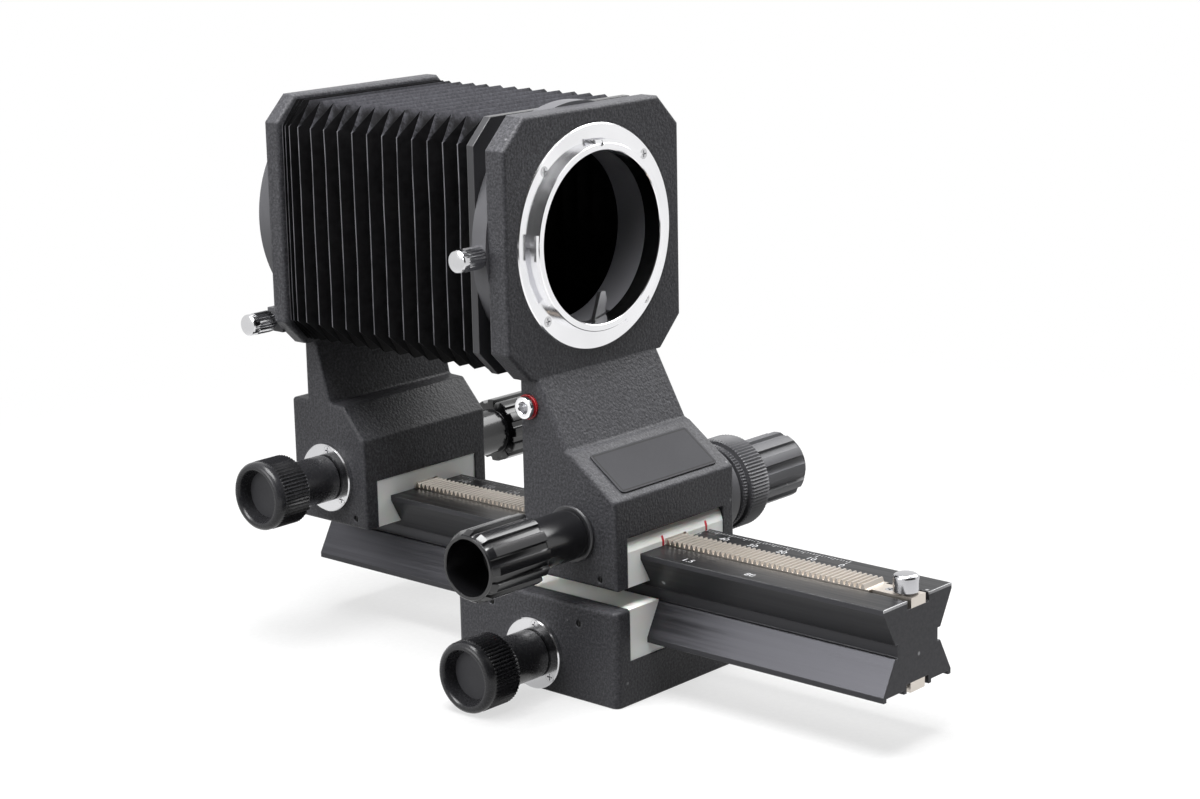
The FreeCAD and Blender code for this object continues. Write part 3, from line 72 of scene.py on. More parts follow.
def placeCamera():
    azimuth, elevation, roll = (math.radians(viewPoint[word]) for word in ("azimuth", "elevation", "roll"))
    back = Vector((math.sin(azimuth) * math.cos(elevation), -math.cos(azimuth) * math.cos(elevation),
                   math.sin(elevation)))
    right = (-back).cross(Vector((0, 0, 1))).normalized()
    up = right.cross(-back)
    turnedRight = right * math.cos(roll) + up * math.sin(roll)
    turnedUp = up * math.cos(roll) - right * math.sin(roll)
    turn = Matrix((turnedRight, turnedUp, back)).transposed()
    data = bpy.data.cameras.new("studioCamera")
    data.lens = viewPoint["lens"]
    data.sensor_width = viewPoint["sensor"]
    data.clip_start = viewPoint["nearest"]
    data.clip_end = viewPoint["farthest"]
    camera = bpy.data.objects.new("studioCamera", data)
    camera.matrix_world = Matrix.Translation(viewPoint["place"]) @ turn.to_4x4()
    bpy.context.scene.collection.objects.link(camera)
    bpy.context.scene.camera = camera


class NodeValue:  # a node's output; sums that are written with it become Math nodes
    def __init__(self, node, word=0):
        self.socket = node.outputs[word]
        self.tree = node.id_data

    def __add__(self, other):
        return calc("ADD", self, other)

    def __sub__(self, other):
        return calc("SUBTRACT", self, other)

    def __rsub__(self, other):
        return calc("SUBTRACT", other, self)

    def __mul__(self, other):
        return calc("MULTIPLY", self, other)

    def __truediv__(self, other):
        return calc("DIVIDE", self, other)

    def __mod__(self, other):
        return calc("MODULO", self, other)

    def __pow__(self, other):
        return calc("POWER", self, other)

    def __abs__(self):
        return calc("ABSOLUTE", self)


def feed(socket, value):  # links a node's output, or sets a plain value
    if isinstance(value, NodeValue):
        value.tree.links.new(value.socket, socket)
    elif value is not None:
        socket.default_value = value


def addNode(tree, kind, settings=None, **inputs):  # inputs by name, with _ for a space
    node = tree.nodes.new(kind)
    for word, value in (settings or {}).items():
        setattr(node, word, value)
    for word, value in inputs.items():
        feed(node.inputs[word.replace("_", " ")], value)
    return node


def outOf(tree, kind, settings=None, word=0, **inputs):  # a new node's output
    return NodeValue(addNode(tree, kind, settings, **inputs), word)


def inOrder(tree, kind, settings, *values, word=0):  # the same, with the inputs in the node's order
    node = addNode(tree, kind, settings)
    for socket, value in zip(node.inputs, values):
        feed(socket, value)
    return NodeValue(node, word)


def calc(work, *values, clamp=False):
    tree = next(value.tree for value in values if isinstance(value, NodeValue))
    return inOrder(tree, "ShaderNodeMath", {"operation": work, "use_clamp": clamp}, *values)


def larger(first, second):
    return calc("MAXIMUM", first, second)


def smaller(first, second):
    return calc("MINIMUM", first, second)


def calcVector(work, first, second=None):
    word = "Value" if work in ("LENGTH", "DOT_PRODUCT") else "Vector"
    return inOrder(first.tree, "ShaderNodeVectorMath", {"operation": work}, first, second, word=word)


def scaleVector(value, times):
    return outOf(value.tree, "ShaderNodeVectorMath", {"operation": "SCALE"}, Vector=value, Scale=times)


def parts(value):  # x, y and z of a vector
    node = addNode(value.tree, "ShaderNodeSeparateXYZ", Vector=value)
    return [NodeValue(node, word) for word in "XYZ"]


def spread(value, fromLow, fromHigh, toLow=0.0, toHigh=1.0, smooth=False):
    settings = {"interpolation_type": "SMOOTHSTEP" if smooth else "LINEAR"}
    return inOrder(value.tree, "ShaderNodeMapRange", settings, value, fromLow, fromHigh, toLow, toHigh)


def band(value, centre, half, soft):  # 1 inside centre +- half, fading over soft
    return spread(abs(value - centre), half, half + soft, 1.0, 0.0)


def mixColour(share, first, second):
    node = addNode(share.tree, "ShaderNodeMix", {"data_type": "RGBA"})
    feed(node.inputs[0], share)
    for number, colour in ((6, first), (7, second)):    # the node's colour inputs
        feed(node.inputs[number], colour if isinstance(colour, NodeValue) else (*colour, 1))
    return NodeValue(node, 2)


noiseSpan = (0.3, 0.7)        # most of a noise's values lie between these


def toned(colour, times):
    return [part * times for part in colour]


def noise(place, scale, detail, roughness=0.5, word="Fac"):
    return outOf(place.tree, "ShaderNodeTexNoise", word=word, Vector=place, Scale=scale, Detail=detail,
                 Roughness=roughness)


def objectPlace(tree):
    return outOf(tree, "ShaderNodeTexCoord", word="Object")


def facing(tree):  # x, y and z of the way that the face looks
    return parts(outOf(tree, "ShaderNodeNewGeometry", word="True Normal"))


socketKinds = {float: "Float", int: "Int", bool: "Bool", tuple: "Vector"}


def newGroup(name, kind, inputs, outputs):  # an input has its default value, or in words its kind of socket
    group = bpy.data.node_groups.new(name, kind)
    for word, value in inputs.items():
        bare = isinstance(value, str)
        socketKind = "NodeSocket" + (value if bare else socketKinds[type(value)])
        socket = group.interface.new_socket(word, in_out="INPUT", socket_type=socketKind)
        if not bare:
            socket.default_value = value
    for word, socketKind in outputs.items():
        group.interface.new_socket(word, in_out="OUTPUT", socket_type="NodeSocket" + socketKind)
    start = group.nodes.new("NodeGroupInput")
    end = group.nodes.new("NodeGroupOutput")

    def given(word):
        return NodeValue(start, word)

    def give(word, value):
        feed(end.inputs[word], value)

    return group, given, give


def useGroup(tree, group, **inputs):
    node = addNode(tree, "ShaderNodeGroup", {"node_tree": group}, **inputs)
    return lambda word: NodeValue(node, word)


def makeGrain():  # fine all-over grain of one size, even in every direction or drawn out along one axis
    group, given, give = newGroup("surfaceGrain", "ShaderNodeTree",
                                  {"Scale": 900.0, "Stretch": (1, 1, 1), "Detail": 3.0},
                                  {"Height": "Float", "Drift": "Float"})
    place = objectPlace(group)
    drawn = calcVector("MULTIPLY", place, given("Stretch"))
    give("Height", noise(drawn, given("Scale"), given("Detail"), 0.6))
    give("Drift", noise(place, 38.0, 2.0))
    return group


def makeCrinkle():  # stove-enamel crinkle: small rounded cells over a slightly uneven coat
    group, given, give = newGroup("crinkleCoat", "ShaderNodeTree",
                                  {"Cell Scale": 1150.0, "Fleck Scale": 1500.0},
                                  {"Height": "Float", "Fleck": "Float", "Drift": "Float"})
    place = objectPlace(group)
    bent = calcVector("ADD", place, scaleVector(noise(place, 900.0, 2.0, word="Color"), 0.6 * mm))
    cells = outOf(group, "ShaderNodeTexVoronoi", {"feature": "SMOOTH_F1"}, word="Distance", Vector=bent,
                  Scale=given("Cell Scale"), Smoothness=0.6)
    grit = noise(place, given("Fleck Scale"), 3.0, 0.7)
    give("Height", calc("SUBTRACT", 1.0, cells, clamp=True) * 0.7 + grit * 0.5)
    give("Fleck", spread(grit, 0.42, 0.72))
    give("Drift", noise(place, 45.0, 3.0))
    return group


def makeEdgeWearAndHighlight():  # where an edge is, broken up so that it isn't even: rubbed edges together with a painted edge highlight; also the softened normal there
    group, given, give = newGroup("edgeWearAndHighlight", "ShaderNodeTree",
                                  {"Radius": 0.0005, "Breakup": 300.0, "Amount": 1.0},
                                  {"Edge": "Float", "Normal": "Vector"})
    rounded = outOf(group, "ShaderNodeBevel", {"samples": 6}, Radius=given("Radius"))
    flat = outOf(group, "ShaderNodeNewGeometry", word="Normal")
    edge = spread(calcVector("DOT_PRODUCT", rounded, flat), 0.985, 0.86)    # less than 1 where the two part
    broken = spread(noise(objectPlace(group), given("Breakup"), 3.0), 0.35, 0.6, 0.35, 1.0)
    give("Edge", calc("MULTIPLY", edge * broken, given("Amount"), clamp=True))
    give("Normal", rounded)
    return group


def makeDust():  # sparse bright specks of lint and tiny chips
    group, given, give = newGroup("dustSpecks", "ShaderNodeTree", {"Scale": 260.0, "Share": 0.06},
                                  {"Speck": "Float"})
    cells = addNode(group, "ShaderNodeTexVoronoi", Vector=objectPlace(group), Scale=given("Scale"))
    near = spread(NodeValue(cells, "Distance"), 0.06, 0.12, 1.0, 0.0)
    drawn = outOf(group, "ShaderNodeSeparateColor", Color=NodeValue(cells, "Color"))
    give("Speck", near * calc("LESS_THAN", drawn, given("Share")))
    return group


grain = makeGrain()
crinkle = makeCrinkle()
edgeWearAndHighlight = makeEdgeWearAndHighlight()
dust = makeDust()
print("shared effects built")


def startFinish(name, **values):
    material = bpy.data.materials.new(name)
    material.use_nodes = True
    shader = material.node_tree.nodes["Principled BSDF"]

    def paint(word, value):
        feed(shader.inputs[word], value)

    for word, value in values.items():
        paint(word.replace("_", " "), value)
    return material, material.node_tree, paint


def addBump(paint, height, strength, depth, normal=None):  # depth in mm
    bump = outOf(height.tree, "ShaderNodeBump", Strength=strength, Distance=depth * mm, Height=height,
                 Normal=normal)
    paint("Normal", bump)


castCoat = {
    "tone": (0.026, 0.026, 0.029),
    "fleckTone": (0.115, 0.115, 0.126),
    "fleckShare": 0.45,
    # wornLitEdgeTone and edgeShare: lighter edges, rubbed and with a painted edge highlight
    "wornLitEdgeTone": (0.165, 0.165, 0.180),
    "edgeShare": 0.38,
    "edgeRadius": 0.9,        # mm
    "dustTone": (0.35, 0.35, 0.36),
    "dustShare": 0.35,
    "roughness": 0.47,
    "specular": 0.19,
    "bump": 0.6,
    "bumpDepth": 0.25,        # mm
}


def makeCastCoat():
    material, tree, paint = startFinish("crinklePaint", Specular_IOR_Level=castCoat["specular"])
    coat = useGroup(tree, crinkle)
    litWornEdge = useGroup(tree, edgeWearAndHighlight, Radius=castCoat["edgeRadius"] * mm, Amount=0.8)
    specks = useGroup(tree, dust, Scale=210.0, Share=0.05)
    base = mixColour(coat("Fleck") * castCoat["fleckShare"], castCoat["tone"], castCoat["fleckTone"])
    # lighter edges: rubbed paint with a painted edge highlight
    base = mixColour(litWornEdge("Edge") * castCoat["edgeShare"], base, castCoat["wornLitEdgeTone"])
    base = mixColour(specks("Speck") * castCoat["dustShare"], base, castCoat["dustTone"])
    paint("Base Color", base)
    rough = castCoat["roughness"]
    paint("Roughness", spread(coat("Drift"), *noiseSpan, rough - 0.05, rough + 0.06))
    addBump(paint, coat("Height"), castCoat["bump"], castCoat["bumpDepth"], litWornEdge("Normal"))
    return material


railCoat = {
    "tone": (0.026, 0.026, 0.029),
    # underShadeTone: painted shade on the faces that look down
    "underShadeTone": (0.008, 0.008, 0.009),
    "flatTone": (0.006, 0.006, 0.007),
    "lowerTone": (0.066, 0.066, 0.073),
    "lowerRearShadeTone": (0.055, 0.055, 0.061),
    "endTone": (0.062, 0.062, 0.067),
    "wornAndLitTone": (0.52, 0.52, 0.53),
    "metallic": 0.35,
    "roughness": 0.36,
    "specular": 0.25,
    "lowerTop": 27.5,         # mm, height of the waist, the lower flanks lie under it
    "toneFrom": -60.0,        # mm along Y, where the lower flanks turn from their own tone to a painted shade towards the rear, where the bellows shade them
    "toneTo": 40.0,
    "edgeRadius": 0.5,        # mm
    "wornWide": 0.20,         # mm, the bare line along the top edge of the front end
    "wornFade": 0.2,
    "wornAbove": 39.9,
    "slotHalf": 4.8,          # mm, the rack's slot interrupts that line
}


def makeRailCoat():
    material, tree, paint = startFinish("railAnodised", Specular_IOR_Level=railCoat["specular"])
    brushed = useGroup(tree, grain, Scale=900.0, Stretch=(1.0, 0.02, 1.0), Detail=4.0)
    coarse = useGroup(tree, grain, Scale=210.0, Stretch=(1.0, 0.015, 1.0), Detail=2.0)
    endGrain = useGroup(tree, grain, Scale=1500.0, Detail=3.0)
    litWornEdge = useGroup(tree, edgeWearAndHighlight, Radius=railCoat["edgeRadius"] * mm, Amount=0.9)
    specks = useGroup(tree, dust, Scale=170.0, Share=0.10)
    x, y, z = parts(objectPlace(tree))
    _, faceY, faceZ = facing(tree)
    upward = spread(faceZ, 0.5, 0.9)
    under = spread(faceZ, -0.15, -0.6)
    endFace = spread(abs(faceY), 0.6, 0.9)
    low = calc("LESS_THAN", z, railCoat["lowerTop"] * mm)
    flank = low * spread(faceZ, 0.1, 0.3)
    # painted shade: the lower flanks darken towards the rear, where the bellows shade them
    rearShade = spread(y, railCoat["toneFrom"] * mm, railCoat["toneTo"] * mm, smooth=True)
    lowerTone = mixColour(rearShade, railCoat["lowerTone"], railCoat["lowerRearShadeTone"])
    lowerTone = scaleVector(lowerTone, spread(brushed("Height"), 0.35, 0.65, 0.90, 1.10))
    base = mixColour(spread(coarse("Height"), 0.35, 0.65), railCoat["tone"], toned(railCoat["tone"], 1.35))
    base = mixColour(flank, base, lowerTone)
    base = mixColour(upward * (1.0 - low), base, railCoat["flatTone"])
    # painted shade: faces that look down are darkened
    base = mixColour(under * 0.8, base, railCoat["underShadeTone"])
    base = mixColour(spread(endGrain("Height"), 0.1, 0.6, 0.6, 1.0) * endFace, base, railCoat["endTone"])
    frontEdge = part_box("rail")[0].y
    wornTo = frontEdge + railCoat["wornWide"] * mm
    line = spread(y, wornTo, wornTo + railCoat["wornFade"] * mm, 1.0, 0.0)
    outside = calc("GREATER_THAN", abs(x), railCoat["slotHalf"] * mm)
    high = calc("GREATER_THAN", z, railCoat["wornAbove"] * mm)
    chipped = spread(endGrain("Drift"), 0.35, 0.6, 0.55, 1.0)
    wornAndLit = (line * outside) * (high * chipped)
    # the edges add a faint painted edge highlight to the bare line and the specks
    wornAndLit = larger(wornAndLit, litWornEdge("Edge") * 0.16)
    wornAndLit = larger(wornAndLit, specks("Speck") * 0.5)
    paint("Base Color", mixColour(wornAndLit, base, railCoat["wornAndLitTone"]))
    paint("Metallic", spread(flank, 0.0, 1.0, railCoat["metallic"], 1.0))
    rough = spread(brushed("Height"), *noiseSpan, railCoat["roughness"] - 0.07, railCoat["roughness"] + 0.10)
    paint("Roughness", rough + endFace * 0.22 - wornAndLit * 0.12)
    addBump(paint, brushed("Height"), 0.28, 0.05, litWornEdge("Normal"))
    return material


linerCoat = {
    "tone": (0.93, 0.93, 0.905),
    "shadeTone": (0.87, 0.87, 0.84),
    "roughness": 0.42,
    "specular": 0.45,
    "milkiness": 0.12,
    "lineTone": (0.52, 0.015, 0.03),
    "lineX": (-5.4, 13.2),    # mm, where the two index lines run down the front
    "lineHalf": 0.40,
    "lineTop": 43.7,
    "lineFront": -26.0,       # mm along Y, the lines are before it
    "lineWobble": 0.3,
}


def makeLinerCoat():
    material, tree, paint = startFinish("slideNylon", Roughness=linerCoat["roughness"],
                                        Specular_IOR_Level=linerCoat["specular"],
                                        Subsurface_Weight=linerCoat["milkiness"], Subsurface_Scale=4 * mm)
    mould = useGroup(tree, grain, Scale=700.0, Detail=3.0)
    place = objectPlace(tree)
    x, y, z = parts(place)
    across = x + (noise(place, 900.0, 1.0) - 0.5) * (linerCoat["lineWobble"] * mm)
    left, right = (band(across, at * mm, linerCoat["lineHalf"] * mm, 0.1 * mm) for at in linerCoat["lineX"])
    lines = larger(left, right) * calc("LESS_THAN", y, linerCoat["lineFront"] * mm)
    lines = lines * spread(z, linerCoat["lineTop"] * mm, (linerCoat["lineTop"] - 0.4) * mm)
    base = mixColour(spread(mould("Drift"), 0.35, 0.65), linerCoat["tone"], linerCoat["shadeTone"])
    paint("Base Color", mixColour(lines, base, linerCoat["lineTone"]))
    addBump(paint, mould("Height"), 0.12, 0.06)
    return material


plateCoat = {
    "tone": (0.026, 0.026, 0.029),
    "borderTone": (0.012, 0.012, 0.012),
    "borderAt": 0.9,          # mm from the rim, the middle of the thin dark line
    "borderHalf": 0.16,
    "borderShare": 0.85,
    # wornLitEdgeTone and edgeShare: lighter edges, rubbed and with a painted edge highlight
    "wornLitEdgeTone": (0.16, 0.16, 0.165),
    "edgeShare": 0.5,
    "edgeRadius": 0.4,
    "specular": 0.06,
}


def makePlateCoat():  # smooth plate, bare, with a thin darker line near its rim
    material, tree, paint = startFinish("plateSatin", Specular_IOR_Level=plateCoat["specular"])
    fine = useGroup(tree, grain, Scale=1500.0, Detail=3.0)
    litWornEdge = useGroup(tree, edgeWearAndHighlight, Radius=plateCoat["edgeRadius"] * mm, Amount=0.8)
    low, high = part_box("nameplate")
    slope = Vector((0, high.y - low.y, high.z - low.z)).normalized()
    x, y, z = parts(objectPlace(tree))
    along = (y - low.y) * slope.y + (z - low.z) * slope.z
    fromEnd = smaller(along, (high - low).dot(slope) - along)
    fromRim = smaller(high.x - abs(x), fromEnd)
    line = band(fromRim, plateCoat["borderAt"] * mm, plateCoat["borderHalf"] * mm, 0.08 * mm)
    base = mixColour(spread(fine("Drift"), *noiseSpan), plateCoat["tone"], toned(plateCoat["tone"], 1.2))
    base = mixColour(line * plateCoat["borderShare"], base, plateCoat["borderTone"])
    # lighter edges: rubbed, with a painted edge highlight
    paint("Base Color", mixColour(litWornEdge("Edge") * plateCoat["edgeShare"], base, plateCoat["wornLitEdgeTone"]))
    paint("Roughness", spread(fine("Height"), *noiseSpan, 0.36, 0.48))
    addBump(paint, fine("Height"), 0.10, 0.04, litWornEdge("Normal"))
    return material


leatherCoat = {
    "tone": (0.0035, 0.0035, 0.0038),
    # topLightTone: painted light on the pleats that look up
    "topLightTone": (0.048, 0.048, 0.055),
    # ridgeTone: the crest lines, scuffed and with a painted highlight
    "ridgeTone": (0.165, 0.165, 0.180),
    "roughness": 0.48,
    "specular": 0.05,
    "poreScale": 1500.0,
    "creaseScale": 420.0,
    "scuffScale": 130.0,      # uneven scuffing and painted highlight along the ridges
    "patchScale": 340.0,      # bare patches near the cut corners
    "topLightScale": 1000.0,       # uneven painted light on what looks up
    "cornerFrom": 24.0,       # mm from the middle, where the cut corners' scuffs begin
    "cornerTo": 28.5,
}


def makeLeatherCoat():
    material, tree, paint = startFinish("bellowsLeather", Specular_IOR_Level=leatherCoat["specular"])
    place = outOf(tree, "ShaderNodeAttribute", {"attribute_name": "restPlace"}, word="Vector")
    ridge = outOf(tree, "ShaderNodeAttribute", {"attribute_name": "ridgeLine"}, word="Fac")
    pores = outOf(tree, "ShaderNodeTexVoronoi", {"feature": "SMOOTH_F1"}, word="Distance", Vector=place,
                  Scale=leatherCoat["poreScale"], Smoothness=0.8)
    creases = noise(place, leatherCoat["creaseScale"], 5.0, 0.65)
    scuff = noise(place, leatherCoat["scuffScale"], 4.0)
    patches = noise(place, leatherCoat["patchScale"], 5.0, 0.7)
    topLightNoise = noise(place, leatherCoat["topLightScale"], 4.0, 0.7)
    # the crest lines: scuffed, with a painted highlight
    wornAndLit = spread(ridge, 0.962, 0.984) * spread(scuff, 0.32, 0.55, 0.45, 1.0)
    corner = spread(abs(parts(place)[0]), leatherCoat["cornerFrom"] * mm, leatherCoat["cornerTo"] * mm)
    bare = corner * spread(patches, 0.44, 0.58, 0.85, 0.0)
    # painted light: faces that look up, near the crests, are lighter
    upward = spread(facing(tree)[2], 0.15, 0.40)
    paintedTopLight = (upward * spread(ridge, 0.55, 0.97)) * (1.0 - bare)
    topLightTone = mixColour(spread(topLightNoise, 0.38, 0.62), toned(leatherCoat["topLightTone"], 0.76),
                        toned(leatherCoat["topLightTone"], 1.28))
    base = mixColour(spread(creases, 0.35, 0.7), leatherCoat["tone"], toned(leatherCoat["tone"], 1.9))
    base = mixColour(paintedTopLight, base, topLightTone)
    paint("Base Color", mixColour(wornAndLit, base, leatherCoat["ridgeTone"]))
    rough = leatherCoat["roughness"]
    paint("Roughness", spread(creases, *noiseSpan, rough - 0.06, rough + 0.10))
    addBump(paint, pores * 0.6 + creases * 0.6, 0.35, 0.10)
    return material


markCoat = {
    "thinTone": (0.16, 0.16, 0.165),    # where the paint has worn thin
    "fullTone": (0.46, 0.46, 0.47),
    "roughness": 0.55,
}


def makeMarkPaint():
    material, tree, paint = startFinish("markPaint", Roughness=markCoat["roughness"])
    cover = spread(noise(objectPlace(tree), 1600.0, 3.0), 0.38, 0.6)
    paint("Base Color", mixColour(cover, markCoat["thinTone"], markCoat["fullTone"]))
    return material


bareMetals = {
    "rackNickel": {"tone": (0.61, 0.565, 0.515), "darkTone": (0.52, 0.475, 0.425), "roughness": 0.36,
                   "stretch": (1, 0.2, 1), "scale": 1400.0, "bump": 0.12},
    "ringChrome": {"tone": (0.92, 0.92, 0.935), "darkTone": (0.80, 0.80, 0.815), "roughness": 0.15,
                   "scale": 500.0, "bump": 0.02},
    "satinChrome": {"tone": (0.63, 0.63, 0.64), "darkTone": (0.58, 0.58, 0.595), "roughness": 0.15,
                    "scale": 700.0, "bump": 0.0},
    "postChrome": {"tone": (0.52, 0.52, 0.54), "darkTone": (0.46, 0.46, 0.475), "roughness": 0.16,
                   "scale": 600.0, "bump": 0.0},
    "turnedSteel": {"tone": (0.52, 0.52, 0.53), "darkTone": (0.42, 0.42, 0.435), "roughness": 0.32,
                    "scale": 1000.0, "bump": 0.15},
    "leverSteel": {"tone": (0.22, 0.22, 0.225), "darkTone": (0.16, 0.16, 0.165), "roughness": 0.38,
                   "stretch": (1, 1, 0.1), "scale": 1200.0, "bump": 0.05},
}


def makeBareMetal(name, tone, darkTone, roughness, scale, bump, stretch=(1, 1, 1)):
    material, tree, paint = startFinish(name, Metallic=1.0)
    marks = useGroup(tree, grain, Scale=scale, Stretch=stretch, Detail=4.0)
    paint("Base Color", mixColour(spread(marks("Drift"), *noiseSpan), tone, darkTone))
    paint("Roughness", spread(marks("Height"), *noiseSpan, roughness * 0.92, roughness * 1.08))
    addBump(paint, marks("Height"), bump, 0.04)
    return material


darkFinishes = {
    "blackSteel": {"tone": (0.012, 0.012, 0.012), "wornLitEdgeTone": (0.12, 0.12, 0.12), "roughness": 0.42,
                   "specular": 0.45},
    "satinBlack": {"tone": (0.017, 0.017, 0.019), "wornLitEdgeTone": (0.14, 0.14, 0.145), "roughness": 0.34,
                   "specular": 0.5},
    "greyInsert": {"tone": (0.026, 0.026, 0.029), "wornLitEdgeTone": (0.12, 0.12, 0.12), "roughness": 0.58,
                   "specular": 0.3},
    "redEnamel": {"tone": (0.26, 0.008, 0.012), "wornLitEdgeTone": (0.7, 0.1, 0.1), "roughness": 0.28,
                  "specular": 0.5},
    "knobGloss": {"tone": (0.006, 0.006, 0.0068), "roughness": 0.18, "specular": 0.60, "bump": 0.0},
    "knobMatt": {"tone": (0.058, 0.058, 0.063), "roughness": 0.46, "specular": 0.34, "bump": 0.06},
    "knobSatin": {"tone": (0.015, 0.015, 0.0167), "roughness": 0.27, "specular": 0.30, "bump": 0.02},
    "barrelBlack": {"tone": (0.080, 0.080, 0.086), "roughness": 0.30, "specular": 0.75, "bump": 0.02},
}


def makeDarkFinish(name, tone, roughness, specular, wornLitEdgeTone=None, bump=0.15):  # wornLitEdgeTone, where given, lightens the edges: rubbed, with a painted edge highlight
    material, tree, paint = startFinish(name, Specular_IOR_Level=specular)
    fine = useGroup(tree, grain, Scale=1300.0, Detail=3.0)
    specks = useGroup(tree, dust, Scale=240.0, Share=0.05)
    base = mixColour(spread(fine("Drift"), *noiseSpan), tone, toned(tone, 1.3))
    normal = None
    if wornLitEdgeTone:
        litWornEdge = useGroup(tree, edgeWearAndHighlight, Radius=0.4 * mm, Amount=0.9)
        # lighter edges: rubbed, with a painted edge highlight
        base = mixColour(litWornEdge("Edge") * 0.5, base, wornLitEdgeTone)
        normal = litWornEdge("Normal")
    paint("Base Color", mixColour(specks("Speck") * 0.3, base, (0.4, 0.4, 0.41)))
    unevenness = 0.01 + bump / 4
    paint("Roughness", spread(fine("Height"), *noiseSpan, roughness - unevenness, roughness + unevenness))
    addBump(paint, fine("Height"), bump, 0.04, normal)
    return material


finishes = {
    "crinklePaint": makeCastCoat(),
    "railAnodised": makeRailCoat(),
    "slideNylon": makeLinerCoat(),
    "plateSatin": makePlateCoat(),
    "bellowsLeather": makeLeatherCoat(),
    "markPaint": makeMarkPaint(),
}
for name, facts in bareMetals.items():
    finishes[name] = makeBareMetal(name, **facts)
for name, facts in darkFinishes.items():
    finishes[name] = makeDarkFinish(name, **facts)
print("finishes built:", len(finishes))

slotFinish = {
    "crinkle_paint": "crinklePaint",
    "black_anodised": "railAnodised",
    "nylon": "slideNylon",
    "warm_nickel": "rackNickel",
    "bright_chrome": "ringChrome",
    "satin_chrome": "satinChrome",
    "steel": "turnedSteel",
    "blackened_steel": "blackSteel",
    "satin_black": "satinBlack",
    "grey_insert": "greyInsert",
    "plate_black": "plateSatin",
    "red_enamel": "redEnamel",
    "leatherette": "bellowsLeather",
}
nodeFinish = {                # nodes whose finish isn't their slot's
    "mount_barrel": "barrelBlack",
    "diaphragm_lever": "leverSteel",
    "front_boss": "knobMatt",
    "camera_ring_housing": "knobMatt",
    "reversing_disc": "knobMatt",
}
slotOf = {row["node"]: row["material_slot"] for row in frame["record"]["subparts"]}
for word, node in nodes.items():
    for place in node.material_slots:
        place.material = finishes[nodeFinish.get(word, slotFinish[slotOf[word]])]
print("CAD nodes finished")


def setInputs(modifier, tree, values):  # a modifier's inputs go by the socket's identifier
    for socket in tree.interface.items_tree:
        if socket.item_type == "SOCKET" and socket.in_out == "INPUT" and socket.name in values:
            modifier[socket.identifier] = values[socket.name]


def plainMesh(holder):  # the object's finished shape, and the object taken away
    made = bpy.data.meshes.new_from_object(holder.evaluated_get(bpy.context.evaluated_depsgraph_get()))
    holder.modifiers.clear()
    bpy.data.objects.remove(holder)
    return made


def grow(name, tree, values, seedPoints=((0, 0, 0),)):
    mesh = bpy.data.meshes.new(name + "Seed")
    mesh.from_pydata(seedPoints, [], [])
    holder = bpy.data.objects.new(name + "Holder", mesh)
    bpy.context.scene.collection.objects.link(holder)
    modifier = holder.modifiers.new("shape", "NODES")
    modifier.node_group = tree
    setInputs(modifier, tree, values)
    made = plainMesh(holder)
    bpy.data.meshes.remove(mesh)
    made.name = name
    return made


def finishMesh(made):
    work = bmesh.new()
    work.from_mesh(made)
    bmesh.ops.dissolve_degenerate(work, dist=1e-7, edges=work.edges)
    bmesh.ops.recalc_face_normals(work, faces=work.faces)
    work.to_mesh(made)
    work.free()
    return made


def addPiece(name, made, body=None):
    piece = bpy.data.objects.new(name, made)
    bpy.context.scene.collection.objects.link(piece)
    if body:
        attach(piece, body)
    return piece


def growingTree(name, inputs):
    tree, given, give = newGroup(name, "GeometryNodeTree", {**inputs, "Finish": "Material"},
                                 {"Geometry": "Geometry"})
    tree.is_modifier = True

    def endTree(geometry):
        real = outOf(tree, "GeometryNodeRealizeInstances", Geometry=geometry)
        give("Geometry", outOf(tree, "GeometryNodeSetMaterial", Geometry=real, Material=given("Finish")))

    return tree, given, endTree


def combine(tree, **inputs):
    return outOf(tree, "ShaderNodeCombineXYZ", **inputs)


def gridPlaces(tree, acrossCount, rowCount):  # a grid to be bent into shape, and each point's column and row
    grid = outOf(tree, "GeometryNodeMeshGrid", word="Mesh", Vertices_X=acrossCount, Vertices_Y=rowCount)
    index = outOf(tree, "GeometryNodeInputIndex")
    column = calc("FLOOR", (index + 0.5) / rowCount)
    return grid, column, index - column * rowCount


def movePoints(geometry, place):
    return outOf(geometry.tree, "GeometryNodeSetPosition", Geometry=geometry, Position=place)


def mergePoints(geometry):
    return outOf(geometry.tree, "GeometryNodeMergeByDistance", Geometry=geometry, Distance=0.004 * mm)


def shadeByAngle(geometry, angle):  # smooth faces, with a crisp edge where they bend more than this
    tree = geometry.tree
    smooth = outOf(tree, "GeometryNodeSetShadeSmooth", {"domain": "FACE"}, Geometry=geometry,
                   Shade_Smooth=True)
    bend = outOf(tree, "GeometryNodeInputMeshEdgeAngle", word="Unsigned Angle")
    crisp = calc("GREATER_THAN", bend, math.radians(angle))
    return outOf(tree, "GeometryNodeSetShadeSmooth", {"domain": "EDGE"}, Geometry=smooth, Selection=crisp,
                 Shade_Smooth=False)


fluteShape = [                # (share of the way to the next flute, share of the depth)
    (0, 1.0), (0.125, 0.96), (0.1875, 0.84), (0.25, 0.0), (0.75, 0.0), (0.8125, 0.84), (0.875, 0.96), (1, 1.0)]


def fluteDepth(tree, phase):  # all at a flute's middle, nothing on the land beside it
    node = addNode(tree, "ShaderNodeFloatCurve", Value=phase)
    curve = node.mapping.curves[0]
    curve.points[0].location = fluteShape[0]
    curve.points[1].location = fluteShape[-1]
    for x, y in fluteShape[1:-1]:
        curve.points.new(x, y)
    for point in curve.points:
        point.handle_type = "VECTOR"
    node.mapping.update()
    return NodeValue(node)


